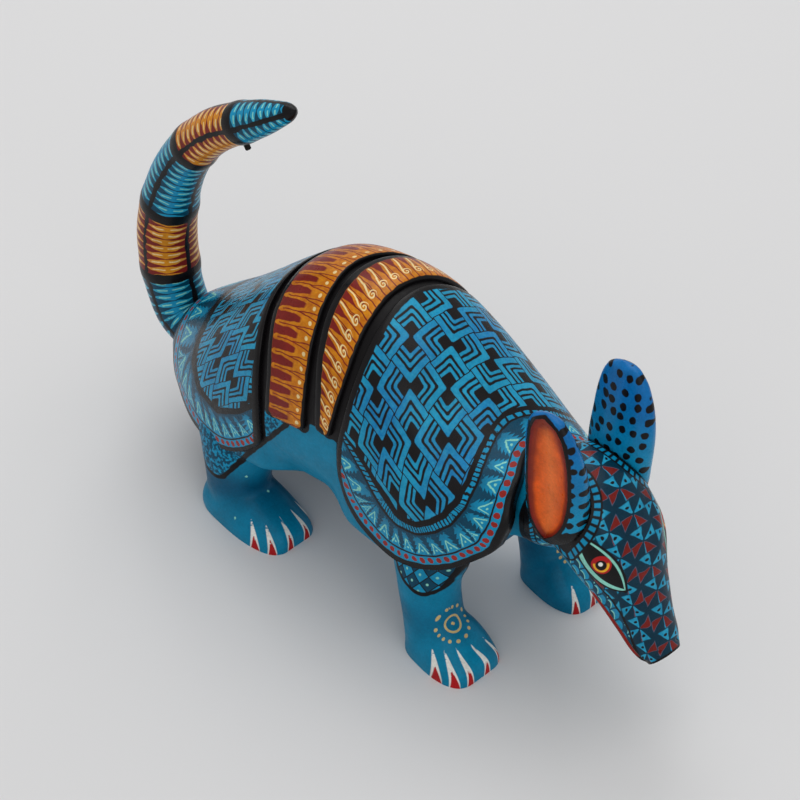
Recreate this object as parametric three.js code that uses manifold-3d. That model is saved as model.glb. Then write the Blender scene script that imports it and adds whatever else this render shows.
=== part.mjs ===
// A carved and painted wooden armadillo: one carved block for the trunk, shell and legs, a head
// doweled to its neck, and two ears and a tail that push into sockets on pegs.
// Millimetres. +X runs towards the head, +Y to the figure's left, +Z up, and the feet stand on z = 0.
import * as THREE from 'three';
import { mergeVertices } from 'three/addons/utils/BufferGeometryUtils.js';
import Module from 'manifold-3d';

const wasm = await Module();
wasm.setup();

// ---- Driving dimensions ----------------------------------------------------------------------
const SHELL_LENGTH = 158; // rump to front rim of the shell
const SHELL_HALF_WIDTH = 32;
const BACK_HEIGHT = 99; // crown of the back above the floor
const PLATE_STEP = 1.6; // how far the shell plates stand above the carved ground
const PLATE_SINK = 3.4; // how far a plate reaches into the block

const LEG_SPREAD = 22.5; // centre of a leg from the middle plane
const ANKLE_RADIUS = 8.8;
const FRONT_FOOT_LENGTH = 24.5;
const REAR_FOOT_LENGTH = 35;
const FOOT_HALF_WIDTH = 10.5;

const HEAD_LENGTH = 59; // neck seam to nose, slantwise
const HEAD_HALF_WIDTH = 14.5;
const HEAD_HALF_DEPTH = 15;
const NECK_DOWEL_RADIUS = 4;
const NECK_DOWEL_LENGTH = 26;

const EAR_LENGTH = 44; // root to tip
const EAR_HALF_WIDTH = 10.4;
const EAR_HALF_THICKNESS = 6;
const EAR_WALL = 2; // wood left round the hollow of the ear
const EAR_HOLLOW = 3.2; // depth of the ear's hollow
const EAR_PEG_RADIUS = 2.4;
const EAR_PEG_IN_EAR = 2.4;
const EAR_PEG_IN_HEAD = 9;

const TAIL_BASE_RADIUS = 9.4;
const TAIL_TIP_RADIUS = 2.2;
const TAIL_PEG_RADIUS = 3;
const TAIL_PEG_LENGTH = 26;
const TAIL_PEG_IN_TAIL = 7;
const TAIL_PIN_RADIUS = 0.9;
const TAIL_PIN_PROUD = 1.8;

const CLEARANCE = 0.3; // between every two pieces that touch

// ---- Shape tables ----------------------------------------------------------------------------
// Trunk sections along the shell: place along SHELL_LENGTH, then crown, half width, widest level
// and belly, as shares of BACK_HEIGHT, SHELL_HALF_WIDTH, BACK_HEIGHT and BACK_HEIGHT.
const TRUNK_SECTIONS = [
  [0.000, 0.28, 0.00, 0.27, 0.26],
  [0.015, 0.38, 0.21, 0.28, 0.21],
  [0.045, 0.440, 0.38, 0.29, 0.18],
  [0.110, 0.530, 0.60, 0.32, 0.18],
  [0.180, 0.615, 0.79, 0.36, 0.18],
  [0.245, 0.705, 0.91, 0.41, 0.18],
  [0.320, 0.815, 0.98, 0.45, 0.19],
  [0.410, 0.93, 1.01, 0.50, 0.21],
  [0.510, 0.985, 1.00, 0.53, 0.23],
  [0.605, 0.995, 0.99, 0.54, 0.24],
  [0.700, 0.930, 1.00, 0.51, 0.23],
  [0.790, 0.825, 0.99, 0.48, 0.24],
  [0.880, 0.745, 0.89, 0.48, 0.29],
  [0.945, 0.715, 0.76, 0.51, 0.36],
  [1.000, 0.700, 0.60, 0.54, 0.42],
];
const TRUNK_SQUARENESS = 2.15;
const NECK_SECTION = { crown: 0.70, half: 0.47, widest: 0.58, belly: 0.44 };
const NECK_SEAM = 0.985; // place along the shell
const NECK_START = 0.86; // where the block begins to narrow to the neck

// Plates of the shell, each crossing the back from side to side: degrees down from the crown,
// then its rear and front edges there, as places along the shell.
const PLATES = {
  shieldFront: [
    [0, 0.620, 0.928], [24, 0.630, 0.955], [42, 0.638, 0.968], [63, 0.641, 0.980],
    [80, 0.637, 0.978], [96, 0.643, 0.965], [108, 0.662, 0.935], [117, 0.700, 0.895],
    [124, 0.760, 0.850],
  ],
  bandFront: [
    [0, 0.506, 0.603], [26, 0.521, 0.612], [49, 0.547, 0.623], [66, 0.569, 0.622],
    [80, 0.580, 0.615],
  ],
  bandRear: [
    [0, 0.378, 0.488], [20, 0.391, 0.502], [38, 0.408, 0.521], [55, 0.433, 0.538],
    [67, 0.448, 0.547], [84, 0.455, 0.552],
  ],
  shieldRear: [
    [0, 0.068, 0.361], [30, 0.072, 0.383], [59, 0.105, 0.420], [81, 0.135, 0.437],
    [99, 0.158, 0.436], [113, 0.188, 0.430], [123, 0.226, 0.412], [130, 0.280, 0.375],
  ],
};

const DEGREE = Math.PI / 180;
const shellRear = -SHELL_LENGTH / 2;
const along = (share) => shellRear + share * SHELL_LENGTH;

// ---- Solids ----------------------------------------------------------------------------------
function facesOut(geometry) {
  const { position } = geometry.attributes;
  const index = geometry.index.array;
  const [a, b, c] = [new THREE.Vector3(), new THREE.Vector3(), new THREE.Vector3()];
  let volume = 0;
  for (let i = 0; i < index.length; i += 3) {
    a.fromBufferAttribute(position, index[i]);
    b.fromBufferAttribute(position, index[i + 1]);
    c.fromBufferAttribute(position, index[i + 2]);
    volume += a.dot(b.cross(c));
  }
  if (volume < 0) {
    for (let i = 0; i < index.length; i += 3) {
      [index[i], index[i + 1]] = [index[i + 1], index[i]];
    }
  }
  return geometry;
}

function solid(geometry) {
  geometry.deleteAttribute('normal');
  geometry.deleteAttribute('uv');
  const merged = facesOut(mergeVertices(geometry, 1e-4));
  return new wasm.Manifold(new wasm.Mesh({
    numProp: 3,
    vertProperties: new Float32Array(merged.attributes.position.array),
    triVerts: new Uint32Array(merged.index.array),
  }));
}

function meshOf(name, manifold, material) {
  const result = manifold.getMesh();
  const geometry = new THREE.BufferGeometry();
  geometry.setAttribute('position', new THREE.BufferAttribute(result.vertProperties, 3));
  geometry.setIndex(new THREE.BufferAttribute(result.triVerts, 1));
  geometry.computeVertexNormals();
  const mesh = new THREE.Mesh(geometry, material);
  mesh.name = name;
  return mesh;
}

// A sphere whose every point is sent to surface(t, turn): t runs 0 to 1 from pole to pole and
// turn 0 to 2 pi round the axis, so each end closes in one point.
function loft(surface, around, rings) {
  const geometry = new THREE.SphereGeometry(1, around, rings);
  const { position, uv } = geometry.attributes;
  for (let i = 0; i < position.count; i += 1) {
    const point = surface(1 - uv.getY(i), uv.getX(i) * 2 * Math.PI);
    position.setXYZ(i, point.x, point.y, point.z);
  }
  return solid(geometry);
}

const beyond = (point, axis, distance) => point.clone().addScaledVector(axis, distance);
const power = (value, exponent) => Math.sign(value) * Math.abs(value) ** exponent;
const roundedEnd = (t) => (1 - Math.cos(Math.PI * t)) / 2;

// A smooth curve through rows of numbers, looked up by their first column.
function smoothTable(rows) {
  const size = rows[0].length - 1;
  const keys = rows.map((row) => row[0]);
  const values = rows.flatMap((row) => row.slice(1));
  const curve = new THREE.CubicInterpolant(keys, values, size, new Float32Array(size));
  return (key) => Array.from(curve.evaluate(key));
}

// A limb along a spine: stations are [place 0..1, x, y, z, half size across, half size deep].
// The first half size lies along `across`, the second square to it and to the spine.
function limb({ stations, across, around = 28, rings = 22, roundness = 2 }) {
  const table = smoothTable(stations);
  const surface = (t, turn) => {
    const place = roundedEnd(t);
    const [x, y, z, wide, deep] = table(place);
    const step = 0.01;
    const before = new THREE.Vector3(...table(Math.max(place - step, 0)));
    const after = new THREE.Vector3(...table(Math.min(place + step, 1)));
    const direction = after.sub(before).normalize();
    const deepAxis = new THREE.Vector3().crossVectors(direction, across).normalize();
    const wideAxis = new THREE.Vector3().crossVectors(deepAxis, direction).normalize();
    const closing = t === 0 || t === 1 ? 0 : 1;
    return new THREE.Vector3(x, y, z)
      .addScaledVector(wideAxis, closing * wide * power(Math.cos(turn), 2 / roundness))
      .addScaledVector(deepAxis, closing * deep * power(Math.sin(turn), 2 / roundness));
  };
  return loft(surface, around, rings);
}

// A round bar between two points.
function bar(from, to, radius, sides = 20) {
  const direction = new THREE.Vector3().subVectors(to, from);
  const geometry = new THREE.CylinderGeometry(radius, radius, direction.length(), sides);
  const turn = new THREE.Quaternion().setFromUnitVectors(
    new THREE.Vector3(0, 1, 0),
    direction.clone().normalize(),
  );
  const middle = new THREE.Vector3().addVectors(from, to).multiplyScalar(0.5);
  geometry.applyMatrix4(new THREE.Matrix4().compose(middle, turn, new THREE.Vector3(1, 1, 1)));
  return solid(geometry);
}

function block(low, high) {
  const size = new THREE.Vector3().subVectors(high, low);
  const geometry = new THREE.BoxGeometry(size.x, size.y, size.z);
  geometry.translate((low.x + high.x) / 2, (low.y + high.y) / 2, (low.z + high.z) / 2);
  return solid(geometry);
}

// ---- Trunk and shell -------------------------------------------------------------------------
const trunkTable = smoothTable(TRUNK_SECTIONS);

function trunkSection(share) {
  const [crown, half, widest, belly] = trunkTable(share);
  return {
    crown: crown * BACK_HEIGHT,
    half: Math.max(half, 0) * SHELL_HALF_WIDTH,
    widest: widest * BACK_HEIGHT,
    belly: belly * BACK_HEIGHT,
  };
}

// Past NECK_START the block under the shell narrows to the neck.
function blockSection(share) {
  const shell = trunkSection(share);
  const span = NECK_SEAM - NECK_START;
  const blend = THREE.MathUtils.smoothstep(share, NECK_START, NECK_START + 0.8 * span);
  return {
    crown: THREE.MathUtils.lerp(shell.crown, NECK_SECTION.crown * BACK_HEIGHT, blend),
    half: THREE.MathUtils.lerp(shell.half, NECK_SECTION.half * SHELL_HALF_WIDTH, blend),
    widest: THREE.MathUtils.lerp(shell.widest, NECK_SECTION.widest * BACK_HEIGHT, blend),
    belly: THREE.MathUtils.lerp(shell.belly, NECK_SECTION.belly * BACK_HEIGHT, blend),
  };
}

// A point on a section, `turn` radians from the crown towards the figure's left, `inset` deep.
function onSection(section, x, turn, inset) {
  const shape = 2 / TRUNK_SQUARENESS;
  const rise = power(Math.cos(turn), shape);
  const height = rise > 0 ? section.crown - section.widest : section.widest - section.belly;
  return new THREE.Vector3(
    x,
    Math.max(section.half - inset, 0) * power(Math.sin(turn), shape),
    section.widest + Math.max(height - inset, 0) * rise,
  );
}

function carvedBlock() {
  const overrun = 1.03; // the block runs past the seam, where it is cut flat
  const surface = (t, turn) => {
    const share = roundedEnd(t) * overrun;
    const section = blockSection(Math.min(share, 1));
    if (t === 0 || t === 1) {
      section.half = 0;
      section.crown = section.widest;
      section.belly = section.widest;
    }
    return onSection(section, along(share), turn, PLATE_STEP);
  };
  return loft(surface, 36, 36);
}

// The outline of a plate's cross-section, as [share of the way round, across -1..1, depth 0..1].
const PLATE_PROFILE = [
  [0, -1, 0.15], [1 / 30, -0.97, 0], [17 / 30, 0.97, 0], [18 / 30, 1, 0.15],
  [21 / 30, 1, 1], [27 / 30, -1, 1], [1, -1, 0.15],
];

// A plate bends over the back as a thin strap sunk into the block, and ends flat on both sides.
function plate(edges, rings = 26) {
  const left = edges.slice(1).reverse().map(([degrees, rear, front]) => [-degrees, rear, front]);
  const rows = [...left, ...edges];
  const edgesAt = smoothTable(rows);
  const profile = new THREE.LinearInterpolant(
    PLATE_PROFILE.map((row) => row[0]),
    PLATE_PROFILE.flatMap((row) => row.slice(1)),
    2,
    [0, 0],
  );
  const end = edges[edges.length - 1][0];
  const surface = (t, turn) => {
    const degrees = -end * Math.cos(Math.PI * t);
    const [rear, front] = edgesAt(degrees);
    const round = THREE.MathUtils.euclideanModulo(turn / (2 * Math.PI), 1);
    const [across, depth] = profile.evaluate(round);
    const isEnd = t === 0 || t === 1;
    const share = (rear + front) / 2 + (isEnd ? 0 : across * (front - rear) / 2);
    const inset = (isEnd ? 0.5 : depth) * (PLATE_STEP + PLATE_SINK);
    return onSection(trunkSection(share), along(share), degrees * DEGREE, inset);
  };
  return loft(surface, 30, rings);
}

// ---- Legs ------------------------------------------------------------------------------------
// Each leg is a limb from inside the trunk to the ankle and a foot that tapers to its toes.
// Its places are offsets from the ankle, which stands at `ankle` along the shell.
const FRONT_LEG = { ankle: 0.825, footLength: FRONT_FOOT_LENGTH, heel: 0.18, stride: 3 };
const REAR_LEG = { ankle: 0.335, footLength: REAR_FOOT_LENGTH, heel: 0.4, stride: 0 };

function leg({ kind, side }) {
  const isFront = kind === FRONT_LEG;
  const stride = side > 0 ? kind.stride : 0;
  const ankleX = along(kind.ankle) + stride;
  const y = side * LEG_SPREAD;
  const r = ANKLE_RADIUS;
  const hip = trunkSection(kind.ankle).widest;
  const stations = isFront
    ? [
      [0, ankleX - 2, y * 0.72, hip + 4, r * 1.2, r * 0.8],
      [0.25, ankleX - 3, y * 0.88, hip * 0.75, r * 1.45, r * 1.05],
      [0.55, ankleX - 2, y * 0.98, hip * 0.5, r * 1.08, r * 1.02],
      [0.78, ankleX, y, hip * 0.28, r, r],
      [1, ankleX + 2, y, 3, r * 1.05, r * 1.05],
    ]
    : [
      [0, ankleX - 4, y * 0.7, hip + 6, r * 1.7, r * 0.8],
      [0.25, ankleX - 5, y * 0.86, hip * 0.78, r * 1.9, r * 1.1],
      [0.55, ankleX - 4, y * 0.98, hip * 0.52, r * 1.45, r * 1.12],
      [0.78, ankleX - 4, y, hip * 0.3, r * 1.2, r * 1.05],
      [1, ankleX - 3, y, 3, r * 1.2, r * 1.05],
    ];
  const shank = limb({ stations, across: new THREE.Vector3(1, 0, 0), rings: 12, around: 18 });
  const heelX = ankleX - kind.heel * kind.footLength;
  const toes = (share) => heelX + share * kind.footLength;
  const w = FOOT_HALF_WIDTH;
  const foot = limb({
    stations: [
      [0, toes(0), y, 5, w * 0.5, 5],
      [0.12, toes(0.06), y, 4.5, w * 0.75, 8],
      [0.4, toes(0.35), y, 2, w * 0.95, 13],
      [0.7, toes(0.72), y, 0, w, 9.5],
      [0.9, toes(0.94), y, 0, w * 0.8, 6],
      [1, toes(1), y, 0, w * 0.55, 4],
    ],
    across: new THREE.Vector3(0, 1, 0),
    rings: 12,
    around: 22,
    roundness: 2.3,
  });
  return shank.add(foot);
}

// ---- Head ------------------------------------------------------------------------------------
// Sections from behind the ears to the nose: order along the head, then ahead of and above the
// neck's centre as shares of HEAD_LENGTH, half width and half depth.
const HEAD_SECTIONS = [
  [0.30, 0.176, 0.150, 1.00, 1.00],
  [0.42, 0.290, 0.078, 1.03, 0.92],
  [0.55, 0.392, -0.045, 0.95, 0.78],
  [0.68, 0.480, -0.190, 0.74, 0.64],
  [0.82, 0.572, -0.345, 0.56, 0.52],
  [0.93, 0.650, -0.450, 0.48, 0.40],
  [1.00, 0.705, -0.505, 0.36, 0.28],
];
const seamX = along(NECK_SEAM);
const neck = blockSection(NECK_SEAM);
const neckCentre = new THREE.Vector3(seamX, 0, (neck.crown + neck.belly) / 2);
const neckHalf = neck.half - PLATE_STEP;
const neckDeep = (neck.crown - neck.belly) / 2 - PLATE_STEP;

function headBlock() {
  const overrun = 0.12 * HEAD_LENGTH; // the head's block runs back past the seam
  const stations = HEAD_SECTIONS.map(([place, ahead, up, wide, deep]) => [
    place,
    neckCentre.x + ahead * HEAD_LENGTH,
    0,
    neckCentre.z + up * HEAD_LENGTH,
    wide * HEAD_HALF_WIDTH,
    deep * HEAD_HALF_DEPTH,
  ]);
  return limb({
    stations: [
      [0, neckCentre.x - overrun, 0, neckCentre.z, neckHalf, neckDeep],
      [0.12, neckCentre.x, 0, neckCentre.z, neckHalf, neckDeep],
      ...stations,
    ],
    across: new THREE.Vector3(0, 1, 0),
    around: 28,
    rings: 30,
    roundness: 2.2,
  });
}

// ---- Ears ------------------------------------------------------------------------------------
const EAR_TILT = 62; // degrees that an ear's peg leans outwards from upright
const EAR_PLACE = new THREE.Vector3(11, 11.5, 14); // seat of the left ear from the neck's centre
const EAR_ROOT = 0.25; // share of the ear's length that lies below its seat

function earFrame(side) {
  const seat = neckCentre.clone()
    .add(new THREE.Vector3(EAR_PLACE.x, side * EAR_PLACE.y, EAR_PLACE.z));
  const axis = new THREE.Vector3(
    0,
    side * Math.sin(EAR_TILT * DEGREE),
    Math.cos(EAR_TILT * DEGREE),
  );
  return { seat, axis };
}

// The ear as a plain leaf, `grow` larger all round and moved `outwards` along its peg.
function earLeaf(side, grow = 0, outwards = 0) {
  const { seat, axis } = earFrame(side);
  const start = beyond(seat, axis, outwards);
  const at = (share, forwards, lean, wide, deep) => [
    share,
    start.x + forwards,
    start.y + side * lean,
    start.z + (share - EAR_ROOT) * EAR_LENGTH,
    Math.max(wide * EAR_HALF_WIDTH + grow, 0.5),
    Math.max(deep * EAR_HALF_THICKNESS + grow, 0.4),
  ];
  return limb({
    stations: [
      at(0, 0, 1, 0.6, 0.7),
      at(0.12, 0, 1, 0.86, 0.95),
      at(0.35, 0, 1, 1, 1),
      at(0.6, 0, 2, 0.97, 0.85),
      at(0.8, -1, 3, 0.72, 0.6),
      at(0.93, -2.5, 3.5, 0.4, 0.35),
      at(1, -3.5, 3.5, 0.12, 0.12),
    ],
    across: new THREE.Vector3(1, 0, 0),
    around: 20,
    rings: 18,
  });
}

// ---- Tail ------------------------------------------------------------------------------------
const TAIL_SEAT = new THREE.Vector3(along(0.045), 0, 0.33 * BACK_HEIGHT);
const TAIL_RISE = 14; // degrees that the tail's peg rises towards the rear
const TAIL_REACH = 60; // from the rearmost bend forward to the tip
const TAIL_HEIGHT = 108; // from the seat up to the tip
const tailAxis = new THREE.Vector3(-Math.cos(TAIL_RISE * DEGREE), 0, Math.sin(TAIL_RISE * DEGREE));
// The tail's hook from its seat to its tip, in shares of TAIL_REACH and TAIL_HEIGHT.
const TAIL_HOOK = [
  [0, 0], [-0.1, 0.028], [-0.165, 0.1], [-0.195, 0.19], [-0.195, 0.305], [-0.145, 0.43],
  [-0.075, 0.53], [0.04, 0.635], [0.22, 0.745], [0.48, 0.85], [0.78, 0.965],
];
// Radius along the tail, as [place, share of the way from TAIL_TIP_RADIUS to TAIL_BASE_RADIUS].
const TAIL_TAPER = [
  [0, 0.8], [0.12, 0.9], [0.3, 1], [0.45, 0.88], [0.6, 0.72], [0.75, 0.62], [0.88, 0.46],
  [0.96, 0.18], [1, 0],
];

const tailCurve = new THREE.CatmullRomCurve3([
  TAIL_SEAT.clone().addScaledVector(tailAxis, -TAIL_BASE_RADIUS), // its root, later cut flat
  ...TAIL_HOOK.map(([reach, height]) => TAIL_SEAT.clone()
    .add(new THREE.Vector3(reach * TAIL_REACH, 0, height * TAIL_HEIGHT))),
]);
const tailTaper = smoothTable(TAIL_TAPER);
const tailRadius = (place) => THREE.MathUtils.lerp(
  TAIL_TIP_RADIUS,
  TAIL_BASE_RADIUS,
  tailTaper(place)[0],
);

function tailLimb(grow = 0) {
  const stations = Array.from({ length: 21 }, (_, i) => {
    const place = i / 20;
    const point = tailCurve.getPointAt(place);
    const radius = tailRadius(place) + grow;
    return [place, point.x, point.y, point.z, radius, radius];
  });
  return limb({ stations, across: new THREE.Vector3(0, 1, 0), around: 18, rings: 40 });
}

// ---- Pegs and sockets ------------------------------------------------------------------------
// A peg that crosses a joint face, `behind` and `ahead` of it along the axis, and the bore that
// takes it with a clearance all round.
const pegAt = ({ seat, axis, radius, behind, ahead }, grow = 0) => bar(
  beyond(seat, axis, -behind - grow),
  beyond(seat, axis, ahead + grow),
  radius + grow,
  16,
);
const boreFor = (peg) => pegAt(peg, CLEARANCE);
const forward = new THREE.Vector3(1, 0, 0);
const neckDowel = {
  seat: neckCentre,
  axis: forward,
  radius: NECK_DOWEL_RADIUS,
  behind: NECK_DOWEL_LENGTH / 2,
  ahead: NECK_DOWEL_LENGTH / 2,
};
const tailPeg = {
  seat: TAIL_SEAT,
  axis: tailAxis,
  radius: TAIL_PEG_RADIUS,
  behind: TAIL_PEG_LENGTH - TAIL_PEG_IN_TAIL,
  ahead: TAIL_PEG_IN_TAIL,
};
const earPeg = (side) => ({
  ...earFrame(side),
  radius: EAR_PEG_RADIUS,
  behind: EAR_PEG_IN_HEAD,
  ahead: EAR_PEG_IN_EAR,
});

// ---- Pieces ----------------------------------------------------------------------------------
const far = 400;
const isAbove = (z) => block(new THREE.Vector3(-far, -far, z), new THREE.Vector3(far, far, far));
const isBefore = (x) => block(new THREE.Vector3(-far, -far, -far), new THREE.Vector3(x, far, far));
const isPast = (x) => block(new THREE.Vector3(x, -far, -far), new THREE.Vector3(far, far, far));

function bodyPiece() {
  let wood = carvedBlock().intersect(isBefore(seamX - CLEARANCE / 2));
  for (const outline of Object.values(PLATES)) wood = wood.add(plate(outline));
  for (const side of [-1, 1]) {
    wood = wood.add(leg({ kind: FRONT_LEG, side })).add(leg({ kind: REAR_LEG, side }));
  }
  const tailSocket = bar(
    beyond(TAIL_SEAT, tailAxis, -CLEARANCE / 2),
    beyond(TAIL_SEAT, tailAxis, 3 * TAIL_BASE_RADIUS),
    TAIL_BASE_RADIUS + CLEARANCE,
    32,
  );
  return wood
    .intersect(isAbove(0))
    .subtract(tailSocket)
    .subtract(boreFor(tailPeg))
    .subtract(boreFor(neckDowel));
}

const EAR_PULL = 12; // the ear's way out of its seat

// The pocket follows the ear's own outline, and is open along the ear's way out.
function earPocket(side) {
  const { seat, axis } = earFrame(side);
  const floor = bar(
    beyond(seat, axis, -CLEARANCE / 2),
    beyond(seat, axis, far),
    far,
    24,
  );
  let room = earLeaf(side, CLEARANCE);
  for (let step = 1; step <= 4; step += 1) {
    room = room.add(earLeaf(side, CLEARANCE, step * EAR_PULL / 4));
  }
  return room.intersect(floor);
}

function headPiece() {
  let wood = headBlock().intersect(isPast(seamX + CLEARANCE / 2));
  for (const side of [-1, 1]) {
    wood = wood.subtract(earPocket(side)).subtract(boreFor(earPeg(side)));
  }
  return wood.subtract(boreFor(neckDowel));
}

// The hollow of the ear is a smaller leaf sunk into its outer face.
function earPiece(side) {
  const { seat, axis } = earFrame(side);
  const kept = bar(beyond(seat, axis, CLEARANCE / 2), beyond(seat, axis, far), far, 24);
  const outward = new THREE.Vector3(0, side, 0);
  const out = 2 * EAR_HALF_THICKNESS - EAR_WALL - EAR_HOLLOW;
  const hollow = earLeaf(side, -EAR_WALL).translate(
    beyond(new THREE.Vector3(0, 0, EAR_WALL), outward, out).toArray(),
  );
  return earLeaf(side)
    .intersect(kept)
    .subtract(hollow)
    .subtract(boreFor(earPeg(side)));
}

// A thin peg crosses the tail under its last painted ring, and one end stands proud inside the hook.
const PIN_PLACE = 0.79; // of the way along the tail
const pinPoint = tailCurve.getPointAt(PIN_PLACE);
const pinAxis = new THREE.Vector3()
  .crossVectors(new THREE.Vector3(0, 1, 0), tailCurve.getTangentAt(PIN_PLACE))
  .normalize();
const pinDepth = 0.6 * tailRadius(PIN_PLACE);
const pinEnd = tailRadius(PIN_PLACE) + TAIL_PIN_PROUD;
const pinBar = (radius, extra) => bar(
  beyond(pinPoint, pinAxis, -pinDepth - extra),
  beyond(pinPoint, pinAxis, pinEnd + extra),
  radius,
  10,
);

function tailPiece() {
  const rootWaste = bar(
    beyond(TAIL_SEAT, tailAxis, CLEARANCE / 2),
    beyond(TAIL_SEAT, tailAxis, -3 * TAIL_BASE_RADIUS),
    2 * TAIL_BASE_RADIUS,
  );
  return tailLimb()
    .subtract(rootWaste)
    .subtract(boreFor(tailPeg))
    .subtract(pinBar(TAIL_PIN_RADIUS + CLEARANCE, CLEARANCE));
}

// ---- Materials -------------------------------------------------------------------------------
const painted = (color) => new THREE.MeshStandardMaterial({ color, roughness: 0.35, metalness: 0 });
const bareWood = (color) => new THREE.MeshStandardMaterial({ color, roughness: 0.8, metalness: 0 });

// ---- Assembly --------------------------------------------------------------------------------
const figure = new THREE.Group();
figure.add(
  meshOf('body', bodyPiece(), painted('#1b8aa3')),
  meshOf('head', headPiece(), painted('#14677c')),
  meshOf('ear_right', earPiece(-1), painted('#1f7fb5')),
  meshOf('ear_left', earPiece(1), painted('#1f7fb5')),
  meshOf('tail', tailPiece(), painted('#2390a8')),
  meshOf('neck_dowel', pegAt(neckDowel), bareWood('#c9a36a')),
  meshOf('tail_peg', pegAt(tailPeg), bareWood('#c9a36a')),
  meshOf('ear_right_peg', pegAt(earPeg(-1)), bareWood('#c9a36a')),
  meshOf('ear_left_peg', pegAt(earPeg(1)), bareWood('#c9a36a')),
  meshOf('tail_pin', pinBar(TAIL_PIN_RADIUS, 0), bareWood('#1c1a19')),
);
// The origin lies on the ground under the middle of the figure's own box.
const box = new THREE.Box3().setFromObject(figure);
figure.position.x = -(box.min.x + box.max.x) / 2;

export default figure;
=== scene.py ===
"""Looks for a carved and painted wooden armadillo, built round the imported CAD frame.

Shapes are worked out in millimetres in the model's own frame (x towards the head, y to the
figure's left, z up) and placed in the row frame in metres by to_frame().
"""

import math
from contextlib import contextmanager

import bmesh
import bpy
import numpy as np
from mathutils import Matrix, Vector
from mathutils.kdtree import KDTree


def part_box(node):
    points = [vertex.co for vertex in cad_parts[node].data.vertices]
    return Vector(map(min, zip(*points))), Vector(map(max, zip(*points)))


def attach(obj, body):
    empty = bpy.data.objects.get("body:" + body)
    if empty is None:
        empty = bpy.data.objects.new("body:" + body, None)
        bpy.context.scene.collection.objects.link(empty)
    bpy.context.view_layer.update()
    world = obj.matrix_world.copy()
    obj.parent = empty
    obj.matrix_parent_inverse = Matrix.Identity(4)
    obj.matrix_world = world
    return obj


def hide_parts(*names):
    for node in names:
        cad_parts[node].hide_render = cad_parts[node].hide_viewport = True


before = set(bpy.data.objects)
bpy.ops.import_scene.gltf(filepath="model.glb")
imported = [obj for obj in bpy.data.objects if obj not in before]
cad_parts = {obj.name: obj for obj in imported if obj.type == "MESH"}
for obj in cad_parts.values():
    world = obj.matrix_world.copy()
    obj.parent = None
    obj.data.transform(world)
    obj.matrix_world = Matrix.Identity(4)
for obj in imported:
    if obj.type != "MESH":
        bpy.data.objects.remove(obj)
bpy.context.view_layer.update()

# ---- Sizes, as the CAD part has them (mm) -----------------------------------------------------
SHELL_LENGTH = 158.0
SHELL_HALF_WIDTH = 32.0
BACK_HEIGHT = 99.0
PLATE_STEP = 1.6
PLATE_ROOT = 1.4  # how far a plate's edge reaches below the carved ground
LEG_SPREAD = 22.5
ANKLE_RADIUS = 8.8
FRONT_FOOT_LENGTH = 24.5
REAR_FOOT_LENGTH = 35.0
FOOT_HALF_WIDTH = 10.5
HEAD_LENGTH = 59.0
HEAD_HALF_WIDTH = 14.5
HEAD_HALF_DEPTH = 15.0
NECK_DOWEL_RADIUS = 4.0
NECK_DOWEL_LENGTH = 26.0
EAR_LENGTH = 44.0
EAR_HALF_WIDTH = 10.4
EAR_HALF_THICKNESS = 6.0
EAR_LIP = 1.0  # wood left beside the ear's hollow
EAR_PEG_RADIUS = 2.4
EAR_PEG_IN_EAR = 2.4
EAR_PEG_IN_HEAD = 9.0
TAIL_BASE_RADIUS = 9.4
TAIL_TIP_RADIUS = 2.2
TAIL_PEG_RADIUS = 3.0
TAIL_PEG_LENGTH = 26.0
TAIL_PEG_IN_TAIL = 7.0
TAIL_PIN_RADIUS = 0.9
TAIL_PIN_PROUD = 1.8
CLEARANCE = 0.3

TRUNK_SECTIONS = [
    [0.000, 0.28, 0.00, 0.27, 0.26], [0.015, 0.38, 0.21, 0.28, 0.21],
    [0.045, 0.440, 0.38, 0.29, 0.18], [0.110, 0.530, 0.60, 0.32, 0.18],
    [0.180, 0.615, 0.79, 0.36, 0.18], [0.245, 0.705, 0.91, 0.41, 0.18],
    [0.320, 0.815, 0.98, 0.45, 0.19], [0.410, 0.93, 1.01, 0.50, 0.21],
    [0.510, 0.985, 1.00, 0.53, 0.23], [0.605, 0.995, 0.99, 0.54, 0.24],
    [0.700, 0.930, 1.00, 0.51, 0.23], [0.790, 0.825, 0.99, 0.48, 0.24],
    [0.880, 0.745, 0.89, 0.48, 0.29], [0.945, 0.715, 0.76, 0.51, 0.36],
    [1.000, 0.700, 0.60, 0.54, 0.42],
]
TRUNK_SQUARENESS = 2.15
NECK_SECTION = (0.70, 0.47, 0.58, 0.44)
NECK_SEAM = 0.985
NECK_START = 0.86

# Plates: degrees down from the crown, then rear and front edge as places along the shell.
PLATES = {
    "shield_front": [
        [0, 0.620, 0.928], [24, 0.630, 0.955], [42, 0.638, 0.968], [63, 0.641, 0.980],
        [80, 0.637, 0.978], [96, 0.643, 0.965], [108, 0.662, 0.935], [117, 0.700, 0.895],
        [124, 0.760, 0.850],
    ],
    "band_front": [
        [0, 0.506, 0.603], [26, 0.521, 0.612], [49, 0.547, 0.623], [66, 0.569, 0.622],
        [80, 0.580, 0.615],
    ],
    "band_rear": [
        [0, 0.378, 0.488], [20, 0.391, 0.502], [38, 0.408, 0.521], [55, 0.433, 0.538],
        [67, 0.448, 0.547], [84, 0.455, 0.552],
    ],
    "shield_rear": [
        [0, 0.068, 0.361], [30, 0.070, 0.383], [59, 0.082, 0.420], [81, 0.098, 0.437],
        [96, 0.126, 0.438], [104, 0.148, 0.434], [112, 0.174, 0.408], [120, 0.208, 0.372],
        [127, 0.250, 0.325],
    ],
}
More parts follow.
